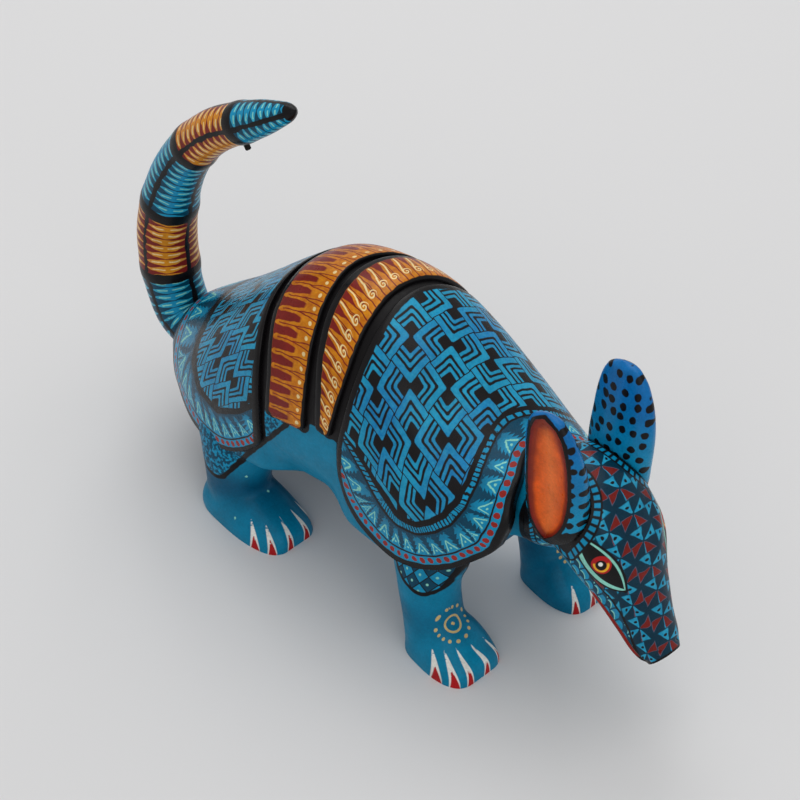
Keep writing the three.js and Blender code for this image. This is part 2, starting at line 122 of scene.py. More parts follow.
# Where the painted field of each shield ends and its border begins: degrees, place along.
FIELD_EDGES = {
    "shield_front": [
        [0, 0.853], [12, 0.860], [28, 0.875], [43, 0.886], [56, 0.886], [68, 0.874],
        [76, 0.855], [82, 0.828], [83, 0.795], [79, 0.768], [76, 0.730], [73, 0.690],
        [71, 0.640], [70, 0.600],
    ],
    "shield_rear": [
        [0, 0.165], [15, 0.173], [43, 0.201], [66, 0.222], [83, 0.261], [90, 0.317],
        [87, 0.385], [80, 0.440], [76, 0.480],
    ],
}
# Borders end where the shield's straight edge begins, at this many degrees.
CORNER = {"shield_front": 94.0, "shield_rear": 102.0}
# The border's line carried on past the corner, so that its strokes meet the straight edge.
BORDER_ENDS = {
    "shield_front": [[60, 0.587], [72, 0.606], [84, 0.625]],
    "shield_rear": [[84, 0.500], [90, 0.478], [96, 0.456]],
}


def lerp(a, b, t):
    return a + (b - a) * t


def smoothstep(x, low, high):
    t = np.clip((np.asarray(x, float) - low) / (high - low), 0, 1)
    return t * t * (3 - 2 * t)


def power(value, exponent):
    return np.sign(value) * np.abs(value) ** exponent


def unit(v):
    v = np.asarray(v, float)
    return v / np.maximum(np.linalg.norm(v, axis=-1, keepdims=True), 1e-12)


class Table:
    """A smooth curve through rows of numbers, looked up by their first column."""

    def __init__(self, rows):
        rows = np.array(rows, float)
        self.keys, self.values = rows[:, 0], rows[:, 1:]

    def __call__(self, key):
        key = np.clip(np.asarray(key, float), self.keys[0], self.keys[-1])
        last = len(self.keys) - 1
        i = np.clip(np.searchsorted(self.keys, key, side="right"), 1, last)
        t0, t1 = self.keys[i - 1], self.keys[i]
        before = np.where(i > 1, i - 2, i)
        after = np.where(i < last, i + 1, i - 1)
        half = (t1 - t0) / 2
        w0 = (half / (t0 - self.keys[before]))[..., None]
        w1 = (half / (self.keys[after] - t1))[..., None]
        p = ((key - t0) / (t1 - t0))[..., None]
        p2, p3 = p * p, p * p * p
        return (
            (-w0 * p3 + 2 * w0 * p2 - w0 * p) * self.values[before]
            + ((1 + w0) * p3 + (-1.5 - 2 * w0) * p2 + (-0.5 + w0) * p + 1) * self.values[i - 1]
            + ((-1 - w1) * p3 + (1.5 + w1) * p2 + 0.5 * p) * self.values[i]
            + (w1 * p3 - w1 * p2) * self.values[after]
        )


def along(share):
    return -SHELL_LENGTH / 2 + np.asarray(share, float) * SHELL_LENGTH


SEAM_X = float(along(NECK_SEAM))
dowel_low, dowel_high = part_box("neck_dowel")
# The middle of the dowel lies in the neck's seam, which ties this frame to the CAD's.
SHIFT = (dowel_low.x + dowel_high.x) / 2 * 1000 - SEAM_X


def to_frame(points):
    return (np.asarray(points, float) + [SHIFT, 0, 0]) / 1000


# ---- Trunk -----------------------------------------------------------------------------------
trunk_table = Table(TRUNK_SECTIONS)
SECTION_SCALE = np.array([BACK_HEIGHT, SHELL_HALF_WIDTH, BACK_HEIGHT, BACK_HEIGHT])


def trunk_section(share):
    section = trunk_table(share) * SECTION_SCALE
    section[..., 1] = np.maximum(section[..., 1], 0)
    return section


def block_section(share):
    span = NECK_SEAM - NECK_START
    blend = smoothstep(share, NECK_START, NECK_START + 0.8 * span)[..., None]
    return lerp(trunk_section(share), np.array(NECK_SECTION) * SECTION_SCALE, blend)


def on_section(section, x, turn, inset):
    shape = 2 / TRUNK_SQUARENESS
    crown, half, widest, belly = np.moveaxis(section, -1, 0)
    rise = power(np.cos(turn), shape)
    height = np.where(rise > 0, crown - widest, widest - belly)
    out = lerp(power(np.sin(turn), shape), 0.985 * np.sign(np.sin(turn)), skirt(x, turn))
    return np.stack(np.broadcast_arrays(
        x,
        np.maximum(half - inset, 0) * out,
        widest + np.maximum(height - inset, 0) * rise,
    ), -1)


def skirt(x, turn):
    """How far the shields' lower borders hang straight down instead of curving under."""
    share = (np.asarray(x) + SHELL_LENGTH / 2) / SHELL_LENGTH
    degrees = np.degrees(np.abs((turn + np.pi) % (2 * np.pi) - np.pi))
    along_shell = np.maximum(
        smoothstep(share, 0.56, 0.66) * (1 - smoothstep(share, 0.93, 1.0)),
        smoothstep(share, 0.08, 0.16) * (1 - smoothstep(share, 0.42, 0.50)))
    return along_shell * smoothstep(degrees, 84, 106) * (1 - smoothstep(degrees, 129, 150))


def on_shell(share, degrees, inset=0.0):
    """The point of the shell's surface at a place along and so many degrees from the crown."""
    share = np.asarray(share, float)
    return on_section(trunk_section(share), along(share), np.radians(degrees), inset)


# ---- Meshes ----------------------------------------------------------------------------------
def link_object(name, data):
    obj = bpy.data.objects.new(name, data)
    bpy.context.scene.collection.objects.link(obj)
    return obj


def make_object(name, points, faces):
    """A smooth-shaded object with its faces' normals outwards."""
    mesh = bpy.data.meshes.new(name)
    mesh.from_pydata([tuple(p) for p in to_frame(points)], [], faces)
    mesh.update()
    obj = link_object(name, mesh)
    mesh.shade_smooth()
    with editing(obj) as bm:
        bmesh.ops.recalc_face_normals(bm, faces=bm.faces)
    return obj


@contextmanager
def editing(obj):
    bm = bmesh.new()
    bm.from_mesh(obj.data)
    yield bm
    bm.to_mesh(obj.data)
    bm.free()


def rest_points(obj):
    """The vertices of an object in the model frame, in mm."""
    co = np.empty(len(obj.data.vertices) * 3)
    obj.data.vertices.foreach_get("co", co)
    return co.reshape(-1, 3) * 1000 - [SHIFT, 0, 0]


def store(obj, name, values):
    values = np.asarray(values, float)
    kind = "FLOAT_VECTOR" if values.ndim == 2 else "FLOAT"
    attribute = obj.data.attributes.get(name) or obj.data.attributes.new(name, kind, "POINT")
    attribute.data.foreach_set("vector" if values.ndim == 2 else "value", values.ravel())


def tube_faces(rings, around, first_pole=None, last_pole=None):
    """Quads between closed rings stored one after another, with a fan at each pole vertex."""
    faces = []
    for i in range(rings - 1):
        for j in range(around):
            k = (j + 1) % around
            faces.append((i * around + j, i * around + k, (i + 1) * around + k,
                          (i + 1) * around + j))
    if first_pole is not None:
        faces += [(first_pole, (j + 1) % around, j) for j in range(around)]
    if last_pole is not None:
        start = (rings - 1) * around
        faces += [(last_pole, start + j, start + (j + 1) % around) for j in range(around)]
    return faces


def loft(name, surface, around, rings):
    """surface(t, turn) for t 0..1 and turn 0..2 pi, both ends closed in one point."""
    t = np.linspace(0, 1, rings + 2)
    turn = np.arange(around) * 2 * math.pi / around
    body = surface(*np.meshgrid(t[1:-1], turn, indexing="ij")).reshape(-1, 3)
    poles = surface(np.array([0.0, 1.0]), np.array([0.0, 0.0]))
    points = np.vstack([body, poles])
    faces = tube_faces(rings, around, len(body), len(body) + 1)
    return make_object(name, points, faces)


def rounded_end(t):
    return (1 - np.cos(np.pi * t)) / 2


class Limb:
    """A limb along a spine: stations are [place 0..1, x, y, z, half across, half deep]."""

    def __init__(self, stations, across, roundness=2.0):
        self.table = Table(stations)
        self.across = np.array(across, float)
        self.roundness = roundness

    def axes(self, place):
        step = 0.01
        direction = unit(self.table(np.minimum(place + step, 1))[..., :3]
                         - self.table(np.maximum(place - step, 0))[..., :3])
        deep_axis = unit(np.cross(direction, self.across))
        return np.cross(deep_axis, direction), deep_axis

    def point(self, place, turn):
        values = self.table(place)
        wide_axis, deep_axis = self.axes(place)
        shape = 2 / self.roundness
        wide = values[..., 3] * power(np.cos(turn), shape)
        deep = values[..., 4] * power(np.sin(turn), shape)
        return values[..., :3] + wide_axis * wide[..., None] + deep_axis * deep[..., None]

    def surface(self, t, turn):
        place = rounded_end(t)
        points = self.point(place, turn)
        closed = (t <= 0) | (t >= 1)
        points[closed] = self.table(place[closed])[..., :3]
        return points

    def skin(self, count):
        """Samples over the surface, and each one's place along the limb."""
        t, turn = np.meshgrid(np.linspace(0, 1, count), np.linspace(0, 2 * math.pi, count))
        return self.surface(t.ravel(), turn.ravel()), rounded_end(t.ravel())

    def build(self, name, around, rings):
        return loft(name, self.surface, around, rings)


def bar(name, start, end, radius, sides=48, bevel=0.0):
    """A round bar with bevelled rims; bevel 0 leaves plain ends."""
    start, end = np.array(start, float), np.array(end, float)
    axis = unit(end - start)
    side = unit(np.cross(axis, [0.31, 0.2, 0.93]))
    up = np.cross(axis, side)
    length = float(np.linalg.norm(end - start))
    stops = [(0, radius - bevel), (bevel * 0.3, radius - bevel * 0.3), (bevel, radius),
             (length - bevel, radius), (length - bevel * 0.3, radius - bevel * 0.3),
             (length, radius - bevel)] if bevel else [(0, radius), (length, radius)]
    turn = np.arange(sides) * 2 * math.pi / sides
    rim = np.cos(turn)[:, None] * side + np.sin(turn)[:, None] * up
    rings = [start + axis * at + rim * size for at, size in stops]
    points = np.vstack(rings + [start[None], end[None]])
    count = len(stops) * sides
    return make_object(name, points, tube_faces(len(stops), sides, count, count + 1))


def apply_modifiers(obj):
    bpy.context.view_layer.update()
    evaluated = obj.evaluated_get(bpy.context.evaluated_depsgraph_get())
    mesh = bpy.data.meshes.new_from_object(evaluated)
    obj.modifiers.clear()
    old, obj.data = obj.data, mesh
    bpy.data.meshes.remove(old)


def cut(obj, tools):
    """Cuts tools out of an object. Slot 0 stays the object's own, and the tools' looks follow."""
    obj.data.materials.clear()
    obj.data.materials.append(bpy.data.materials.new("own_surface"))
    for tool, look in tools:
        tool.data.materials.clear()
        tool.data.materials.append(look)
        modifier = obj.modifiers.new("cut", "BOOLEAN")
        modifier.operation = "DIFFERENCE"
        modifier.solver = "EXACT"
        modifier.object = tool
        modifier.material_mode = "TRANSFER"
        apply_modifiers(obj)
        bpy.data.objects.remove(tool)


def join(objects):
    """Gathers the meshes of several objects in the first of them."""
    main = objects[0]
    with editing(main) as bm:
        for obj in objects[1:]:
            bm.from_mesh(obj.data)
    for obj in objects[1:]:
        bpy.data.objects.remove(obj)
    return main


def remesh(obj, voxel, smoothing):
    modifier = obj.modifiers.new("voxels", "REMESH")
    modifier.mode = "VOXEL"
    modifier.voxel_size = voxel / 1000
    modifier.use_smooth_shade = True
    if smoothing:
        softener = obj.modifiers.new("soften", "SMOOTH")
        softener.iterations = smoothing
        softener.factor = 0.5
    apply_modifiers(obj)


def sharpen(obj, degrees=50):
    with editing(obj) as bm:
        for edge in bm.edges:
            if len(edge.link_faces) == 2 and edge.calc_face_angle(0) > math.radians(degrees):
                edge.smooth = False


# ---- Shader graphs ---------------------------------------------------------------------------
class Value:
    """A number on a shader graph, with ordinary arithmetic."""

    def __init__(self, graph, socket):
        self.graph, self.socket = graph, socket

    def wave(self, period):
        """1 at each multiple of the period, 0 halfway between two."""
        return ((self / period).fract() - 0.5).abs() * 2


# What each method of Value is called on a shader graph.
OPERATIONS = {
    "__add__": "ADD", "__sub__": "SUBTRACT", "__mul__": "MULTIPLY", "__truediv__": "DIVIDE",
    "__pow__": "POWER", "abs": "ABSOLUTE", "floor": "FLOOR", "fract": "FRACT", "sqrt": "SQRT",
    "sin": "SINE", "min": "MINIMUM", "max": "MAXIMUM", "mod": "FLOORED_MODULO",
}
SWAPPED_OPERATIONS = {"__radd__": "ADD", "__rsub__": "SUBTRACT", "__rmul__": "MULTIPLY"}


def value_method(kind, swapped):
    def method(self, *others):
        values = (*others, self) if swapped else (self, *others)
        return self.graph.math(kind, *values)
    return method


for method_name, operation in OPERATIONS.items():
    setattr(Value, method_name, value_method(operation, False))
for method_name, operation in SWAPPED_OPERATIONS.items():
    setattr(Value, method_name, value_method(operation, True))


def reach_of(u, v):
    return (u * u + v * v).sqrt()


class Paint:
    """A painted, varnished surface. The colour is laid on stroke by stroke with lay()."""

    SOFT = 0.07  # mm to either side over which one paint gives way to the next
    GRAIN_SCALE = 2.2
    BUMP_STRENGTH = 0.5

    def __init__(self, name):
        self.material = bpy.data.materials.new(name)
        self.material.use_nodes = True
        self.tree = self.material.node_tree
        self.shader = self.tree.nodes["Principled BSDF"]
        self.color = None
        self.at = self.vector("rest")

    def node(self, kind, **values):
        node = self.tree.nodes.new(kind)
        for key, value in values.items():
            setattr(node, key, value)
        return node

    def plug(self, value, socket):
        if isinstance(value, Value):
            self.tree.links.new(value.socket, socket)
        elif isinstance(value, bpy.types.NodeSocket):
            self.tree.links.new(value, socket)
        else:
            socket.default_value = value

    def math(self, kind, *values):
        node = self.node("ShaderNodeMath", operation=kind)
        for socket, value in zip(node.inputs, values):
            self.plug(value, socket)
        return Value(self, node.outputs[0])

    def number(self, name):
        return Value(self, self.node("ShaderNodeAttribute", attribute_name=name).outputs["Fac"])

    def vector(self, name):
        return self.node("ShaderNodeAttribute", attribute_name=name).outputs["Vector"]

    def noise(self, scale, detail=2.0, shift=0.0, rough=0.5):
        place = self.at
        if shift:
            mover = self.node("ShaderNodeVectorMath", operation="ADD")
            self.plug(self.at, mover.inputs[0])
            mover.inputs[1].default_value = (shift, shift * 0.7, -shift)
            place = mover.outputs[0]
        node = self.node("ShaderNodeTexNoise")
        self.plug(place, node.inputs["Vector"])
        node.inputs["Scale"].default_value = scale
        node.inputs["Detail"].default_value = detail
        node.inputs["Roughness"].default_value = rough
        return Value(self, node.outputs["Fac"])

    def wobble(self, amount, scale=0.35, shift=0.0):
        """A hand's unsteadiness: up to `amount` mm to either side."""
        return (self.noise(scale, 1.0, shift) - 0.5) * (3.2 * amount)

    def above(self, value, edge, soft=None):
        soft = self.SOFT if soft is None else soft
        return self.ramp(value, edge - soft, edge + soft, 0, 1)

    def below(self, value, edge, soft=None):
        soft = self.SOFT if soft is None else soft
        return self.ramp(value, edge - soft, edge + soft, 1, 0)

    def between(self, value, low, high, soft=None):
        return self.above(value, low, soft) * self.below(value, high, soft)

    def ramp(self, value, low, high, start, end):
        node = self.node("ShaderNodeMapRange", clamp=True)
        for socket, item in zip(node.inputs, (value, low, high, start, end)):
            self.plug(item, socket)
        return Value(self, node.outputs[0])

    def mix(self, under, over, mask):
        node = self.node("ShaderNodeMix", data_type="RGBA", clamp_factor=True)
        self.plug(mask, node.inputs["Factor"])
        for color, index in ((under, 6), (over, 7)):
            if isinstance(color, tuple):
                node.inputs[index].default_value = (*color, 1.0)
            else:
                self.plug(color, node.inputs[index])
        return node.outputs[2]

    def lay(self, color, mask=None):
        if mask is None or self.color is None:
            self.color = color
        else:
            self.color = self.mix(self.color, color, mask)

    def finish(self, rough=0.34, coat=0.35, bump=0.05, speckle=0.0):
        """Thin and thick places in the paint, fine brush marks, wood grain and varnish."""
        shade = self.noise(0.16, 3.0, 11.0)
        fine = self.noise(1.3, 3.0, 5.0, 0.65)
        color = self.color
        if isinstance(color, tuple):
            color = self.mix(color, color, 0.0)
        tint = self.node("ShaderNodeHueSaturation")
        self.plug(color, tint.inputs["Color"])
        self.plug(self.ramp(shade * 0.5 + fine * 0.5, 0.30, 0.70, 0.76, 1.2),
                  tint.inputs["Value"])
        self.tree.links.new(tint.outputs[0], self.shader.inputs["Base Color"])
        gloss = self.ramp(self.noise(0.5, 4.0, 3.0, 0.6), 0.3, 0.7, rough - 0.09, rough + 0.13)
        self.plug(gloss, self.shader.inputs["Roughness"])
        self.shader.inputs["Coat Weight"].default_value = coat
        self.shader.inputs["Coat Roughness"].default_value = 0.2
        self.shader.inputs["Specular IOR Level"].default_value = 0.12
        stretch = self.node("ShaderNodeMapping")
        self.plug(self.at, stretch.inputs["Vector"])
        stretch.inputs["Scale"].default_value = (0.25, 1.4, 1.4)
        grain = self.node("ShaderNodeTexNoise")
        self.tree.links.new(stretch.outputs[0], grain.inputs["Vector"])
        grain.inputs["Scale"].default_value = self.GRAIN_SCALE
        grain.inputs["Detail"].default_value = 4.0
        height = Value(self, grain.outputs["Fac"]) * 0.6 + fine * 0.8
        if speckle:
            height = height + self.noise(2.6, 2.0, 21.0, 0.7) * speckle
        node = self.node("ShaderNodeBump")
        node.inputs["Strength"].default_value = self.BUMP_STRENGTH
        node.inputs["Distance"].default_value = bump / 1000
        self.plug(height, node.inputs["Height"])
        self.tree.links.new(node.outputs[0], self.shader.inputs["Normal"])
        return self.material


def srgb(red, green, blue):
    def linear(c):
        c = c / 255
        return c / 12.92 if c <= 0.04045 else ((c + 0.055) / 1.055) ** 2.4
    return (linear(red), linear(green), linear(blue))


TURQUOISE = srgb(0, 126, 164)
# painted shade: a darker turquoise laid where the legs and belly are shaded
TURQUOISE_PAINTED_SHADE = srgb(0, 66, 100)
CYAN = srgb(10, 142, 186)
CYAN_PALE = srgb(62, 176, 204)
ROYAL = srgb(8, 92, 172)
TEAL = srgb(0, 66, 92)
TEAL_DEEP = srgb(0, 48, 68)
BLACK = srgb(16, 14, 16)
MINT = srgb(140, 214, 198)
DARK_RED = srgb(150, 34, 26)
OXBLOOD = srgb(120, 28, 22)
OCHRE = srgb(210, 134, 18)
OCHRE_DEEP = srgb(182, 98, 6)
CREAM = srgb(232, 208, 150)
WHITE = srgb(232, 232, 226)
TAN = srgb(206, 180, 122)
ORANGE = srgb(232, 92, 14)
ORANGE_DEEP = srgb(140, 46, 20)
YELLOW = srgb(236, 176, 40)
SIGNAL_RED = srgb(176, 26, 30)


# ---- Painted looks ---------------------------------------------------------------------------
FRET_CELL = 8.8
DOT_PITCH, DOT_RADIUS = 3.1, 0.98
TUFT_PITCH = 6.2
DASH_PITCH = 1.35


def fret(paint, s, t):
    """Square cells of nested angles, their black corners meeting in pairs."""
    a_cell, b_cell = s / FRET_CELL, t / FRET_CELL
    i, j = a_cell.floor(), b_cell.floor()
    a, b = a_cell - i, b_cell - j
    # every other row is mirrored one way and every other column the other way
    flip_a = 1.0 - j.mod(2.0)
    flip_b = 1.0 - i.mod(2.0)
    a = a + flip_a * (1.0 - a * 2.0)
    b = b + flip_b * (1.0 - b * 2.0)
    m = a.min(b).min((a + b - 0.045) * 0.5)
    soft = 0.012
    lines = (paint.between(m, 0.036, 0.235, soft) + paint.between(m, 0.325, 0.43, soft)
             + paint.between(m, 0.515, 0.615, soft))
    return lines.min(1.0)


def border(paint, r, q, width, has_dashes):
    """The shield's border from its rim inwards. r runs 0 to 1 across it, q is mm along it."""
    stops = (0.13, 0.29, 0.325, 0.76, 0.80, 0.915) if has_dashes else (
        0.12, 0.29, 0.33, 0.90, 1.0, 1.0)
    rim, dots, line, tufts, line2, dashes = stops
    edge = 0.006
    # cyan ribbon with dark-red dots
    paint.lay(CYAN, paint.between(r, rim, dots, edge))
    side = ((q / DOT_PITCH).fract() - 0.5) * DOT_PITCH
    out = (r - (rim + dots) / 2) * width
    reach = reach_of(side, out)
    paint.lay(DARK_RED, paint.below(reach, DOT_RADIUS))
    # dark teal ribbon with serrated tufts
    inside = paint.between(r, line, tufts, edge)
    paint.lay(TEAL, inside)
    place = ((q / TUFT_PITCH).fract() - 0.5).abs() * TUFT_PITCH
    depth = (r - line) / (tufts - line)
    teeth = (depth * 4.6).fract()
    half = 3.05 - depth * 1.25 - teeth * 0.95
    flame = paint.below(place - half, 0.0, 0.12) * paint.below(
        depth + (q * 0.9).wave(1.3) * 0.10, 0.93, 0.02) * inside
    paint.lay(paint.mix(CYAN, TEAL, paint.ramp(depth, 0.35, 1.0, 0.0, 0.55)), flame)
    # mint hooks at the foot of each tuft
    arm = (place - (0.60 - depth) * 3.4).abs()
    hook = paint.below(arm, 0.26) * paint.between(depth, 0.06, 0.58, 0.02)
    seed = (place * place + ((depth - 0.2) * width * 0.43) ** 2.0).sqrt()
    paint.lay(MINT, hook * inside)
    paint.lay(MINT, paint.below(seed, 0.36) * inside)
    if has_dashes:
        dash = paint.between((q / DASH_PITCH).fract(), 0.16, 0.80, 0.05)
        paint.lay(CYAN, dash * paint.between(r, line2 + 0.01, dashes, edge))


def shield_paint(name, has_dashes):
    paint = Paint(name)
    s = paint.number("s") + paint.wobble(0.22, 0.3)
    t = paint.number("t") + paint.wobble(0.22, 0.3, 31.0)
    width = paint.number("band_width")
    r = paint.number("band") + paint.wobble(0.20, 0.32, 7.0) / width
    q = paint.number("q") + paint.wobble(0.3, 0.25, 17.0)
    stripe = paint.number("stripe") + paint.wobble(0.25, 0.3, 13.0)
    paint.lay(BLACK)
    lines = fret(paint, s, t)
    royal = paint.ramp(paint.noise(0.045, 2.0, 40.0), 0.48, 0.64, 0.0, 0.6)
    streak = paint.ramp(paint.noise(0.7, 3.0, 23.0, 0.6), 0.3, 0.7, 0.0, 0.35)
    blue = paint.mix(paint.mix(CYAN, ROYAL, royal), CYAN_PALE, streak)
    field = paint.above(r, 1.035 if has_dashes else 1.07, 0.006)
    paint.lay(blue, lines * field)
    in_border = paint.below(r, 1.0, 0.004)
    fielded = paint.color
    paint.lay(BLACK, 1.0)
    border(paint, r, q, width, has_dashes)
    paint.color = paint.mix(fielded, paint.color, in_border)
    paint.lay(BLACK, paint.below(stripe, 2.3, 0.12))
    paint.lay(BLACK, paint.above(paint.number("drop"), 0.25, 0.1))
    return paint.finish(rough=0.30, coat=0.16, bump=0.10, speckle=1.1)


def band_paint(name, scrolled):
    """Ochre bands: dark-red teeth from the rear edge, then dots or scrolls to the front."""
    paint = Paint(name)
    t = paint.number("t") + paint.wobble(0.3, 0.3)
    back = paint.number("rear") + paint.wobble(0.25, 0.35, 9.0)
    front = paint.number("front") + paint.wobble(0.25, 0.35, 19.0)
    across = back / (back + front)
    paint.lay(BLACK)
    inside = paint.above(back, 2.2 if not scrolled else 2.7, 0.1) * paint.above(front, 0.7, 0.1)
    warm = paint.ramp(paint.noise(0.5, 3.0, 29.0), 0.3, 0.7, 0.0, 1.0)
    ochre = paint.mix(OCHRE, OCHRE_DEEP, warm)
    paint.lay(ochre, inside)
    if scrolled:
        pitch = 4.5
        lean = t + across * 3.8
        cell = (lean / pitch).fract()
        tooth = paint.below((cell - 0.5).abs() * pitch + across * 3.2, 2.0, 0.1)
        paint.lay(OXBLOOD, tooth * inside)
        ahead = (cell - 0.5).abs() * pitch
        paint.lay(OXBLOOD, paint.below(ahead, 0.2) * inside * paint.above(across, 0.5, 0.01))
        valley = (pitch / 2 - ahead - (1.0 - across) * 0.6).abs()
        paint.lay(OXBLOOD, paint.below(valley, 0.17) * inside)
        # a cream stroke that runs forward and curls up at its end
        shift = ((cell + 0.72).fract() - 0.5) * pitch
        wave = (across * 5.6).sin() * 0.75
        stroke = paint.below((shift - wave).abs(), 0.28) * paint.between(across, 0.20, 0.70, 0.02)
        u = shift - 0.45
        v = (across - 0.74) * (back + front)
        reach = reach_of(u, v)
        angle = paint.math("ARCTAN2", v, u) / (2 * math.pi)
        curl = (reach / 1.02 - angle).fract()
        spiral = paint.between(curl, 0.28, 0.72, 0.06) * paint.below(reach, 1.5)
        paint.lay(CREAM, (stroke + spiral).min(1.0) * inside)
    else:
        pitch = 4.3
        cell = (t / pitch).fract()
        side = (cell - 0.5).abs() * pitch
        drop = 1.35 - ((across - 0.30) * 3.1) ** 2.0 * 0.5
        teeth = paint.below(side - drop, 0.0, 0.1) * paint.below(across, 0.66, 0.02)
        root = paint.below(side + across * 9.0, 2.9, 0.1)
        paint.lay(OXBLOOD, (teeth + root).min(1.0) * inside)
        rule = ((cell + 0.5).fract() - 0.5).abs() * pitch
        forked = (rule - paint.ramp(across, 0.55, 0.95, 0.0, 0.9)).abs()
        paint.lay(OXBLOOD, paint.below(forked, 0.17) * inside * paint.above(across, 0.22, 0.01))
        v = (across - 0.86) * (back + front)
        dots = reach_of(side, v)
        paint.lay(CREAM, paint.below(dots, 0.62) * inside)
    paint.lay(BLACK, paint.above(paint.number("drop"), 0.25, 0.1))
    return paint.finish(rough=0.33, coat=0.12, bump=0.08, speckle=0.4)


def body_paint():
    paint = Paint("painted_body_core")
    shade = paint.noise(0.05, 2.0, 3.0)
    # painted shade: the stored 'shade' darkens the turquoise low on the legs and under the belly,
    # mottled at random
    low = paint.number("shade")
    base = paint.mix(TURQUOISE, TURQUOISE_PAINTED_SHADE, (low + (shade - 0.5) * 0.5).max(0.0).min(1.0))
    paint.lay(base)
    # lattice cuff on the front legs
    wob = paint.wobble(0.3, 0.3, 8.0)
    cuff = paint.number("cuff") + wob
    x, z = paint.number("cuff_x"), paint.number("cuff_z")
    inside = paint.above(cuff, 0.0, 0.1)
    paint.lay(TEAL, inside)
    one, two = (x + z * 0.75) / 4.4, (x - z * 0.75) / 4.4
    checker = (one.floor() + two.floor()).mod(2.0)
    paint.lay(CYAN, checker * inside)
    net = paint.below(one.fract().min(two.fract()), 0.09, 0.03)
    paint.lay(BLACK, net * inside)
    u, v = one.fract() - 0.5, two.fract() - 0.5
    paint.lay(MINT, paint.below(reach_of(u, v), 0.11, 0.03) * inside)
    paint.lay(BLACK, paint.between(cuff, -0.1, 1.25, 0.12))
    # mottled cuff on the rear legs
    cuff = paint.number("rear_cuff") + wob
    inside = paint.above(cuff, 0.0, 0.1)
    paint.lay(paint.mix(TEAL, CYAN, paint.above(paint.noise(0.9, 2.0, 44.0), 0.52, 0.06)), inside)
    paint.lay(BLACK, paint.between(cuff, -0.1, 1.5, 0.12))
    # claws, as flames with red at the root
    place, side = paint.number("claw"), paint.number("claw_side")
    half = (place.max(0.0).min(1.0) ** 0.8) * 1.25
    claw = paint.below(side - half, 0.0, 0.1) * paint.above(place, 0.02, 0.02)
    paint.lay(WHITE, claw)
    red = paint.below(side - (place - 0.5).max(0.0) * 2.0, 0.0, 0.1) * paint.above(
        place, 0.56, 0.02)
    paint.lay(SIGNAL_RED, red)
    # a sun on each front foot
    r, a = paint.number("sun"), paint.number("sun_turn")
    ring = paint.below((r - 2.5).abs(), 0.32)
    dot = paint.below(r, 0.6)
    u = ((a * 14.0).fract() - 0.5) * (5.3 * 2 * math.pi / 14)
    v = r - 5.3
    rays = paint.below(reach_of(u, v), 0.55)
    paint.lay(TAN, (ring + dot + rays).min(1.0))
    paint.lay(MINT, paint.below(paint.number("speck"), 0.55))
    paint.lay(BLACK, paint.above(paint.number("black") + wob * 0.6, 0.0, 0.12))
    return paint.finish(rough=0.40, coat=0.05, bump=0.06, speckle=0.15)


IRIS, PUPIL, HIGHLIGHT = 2.75, 1.5, 0.62  # radii in mm


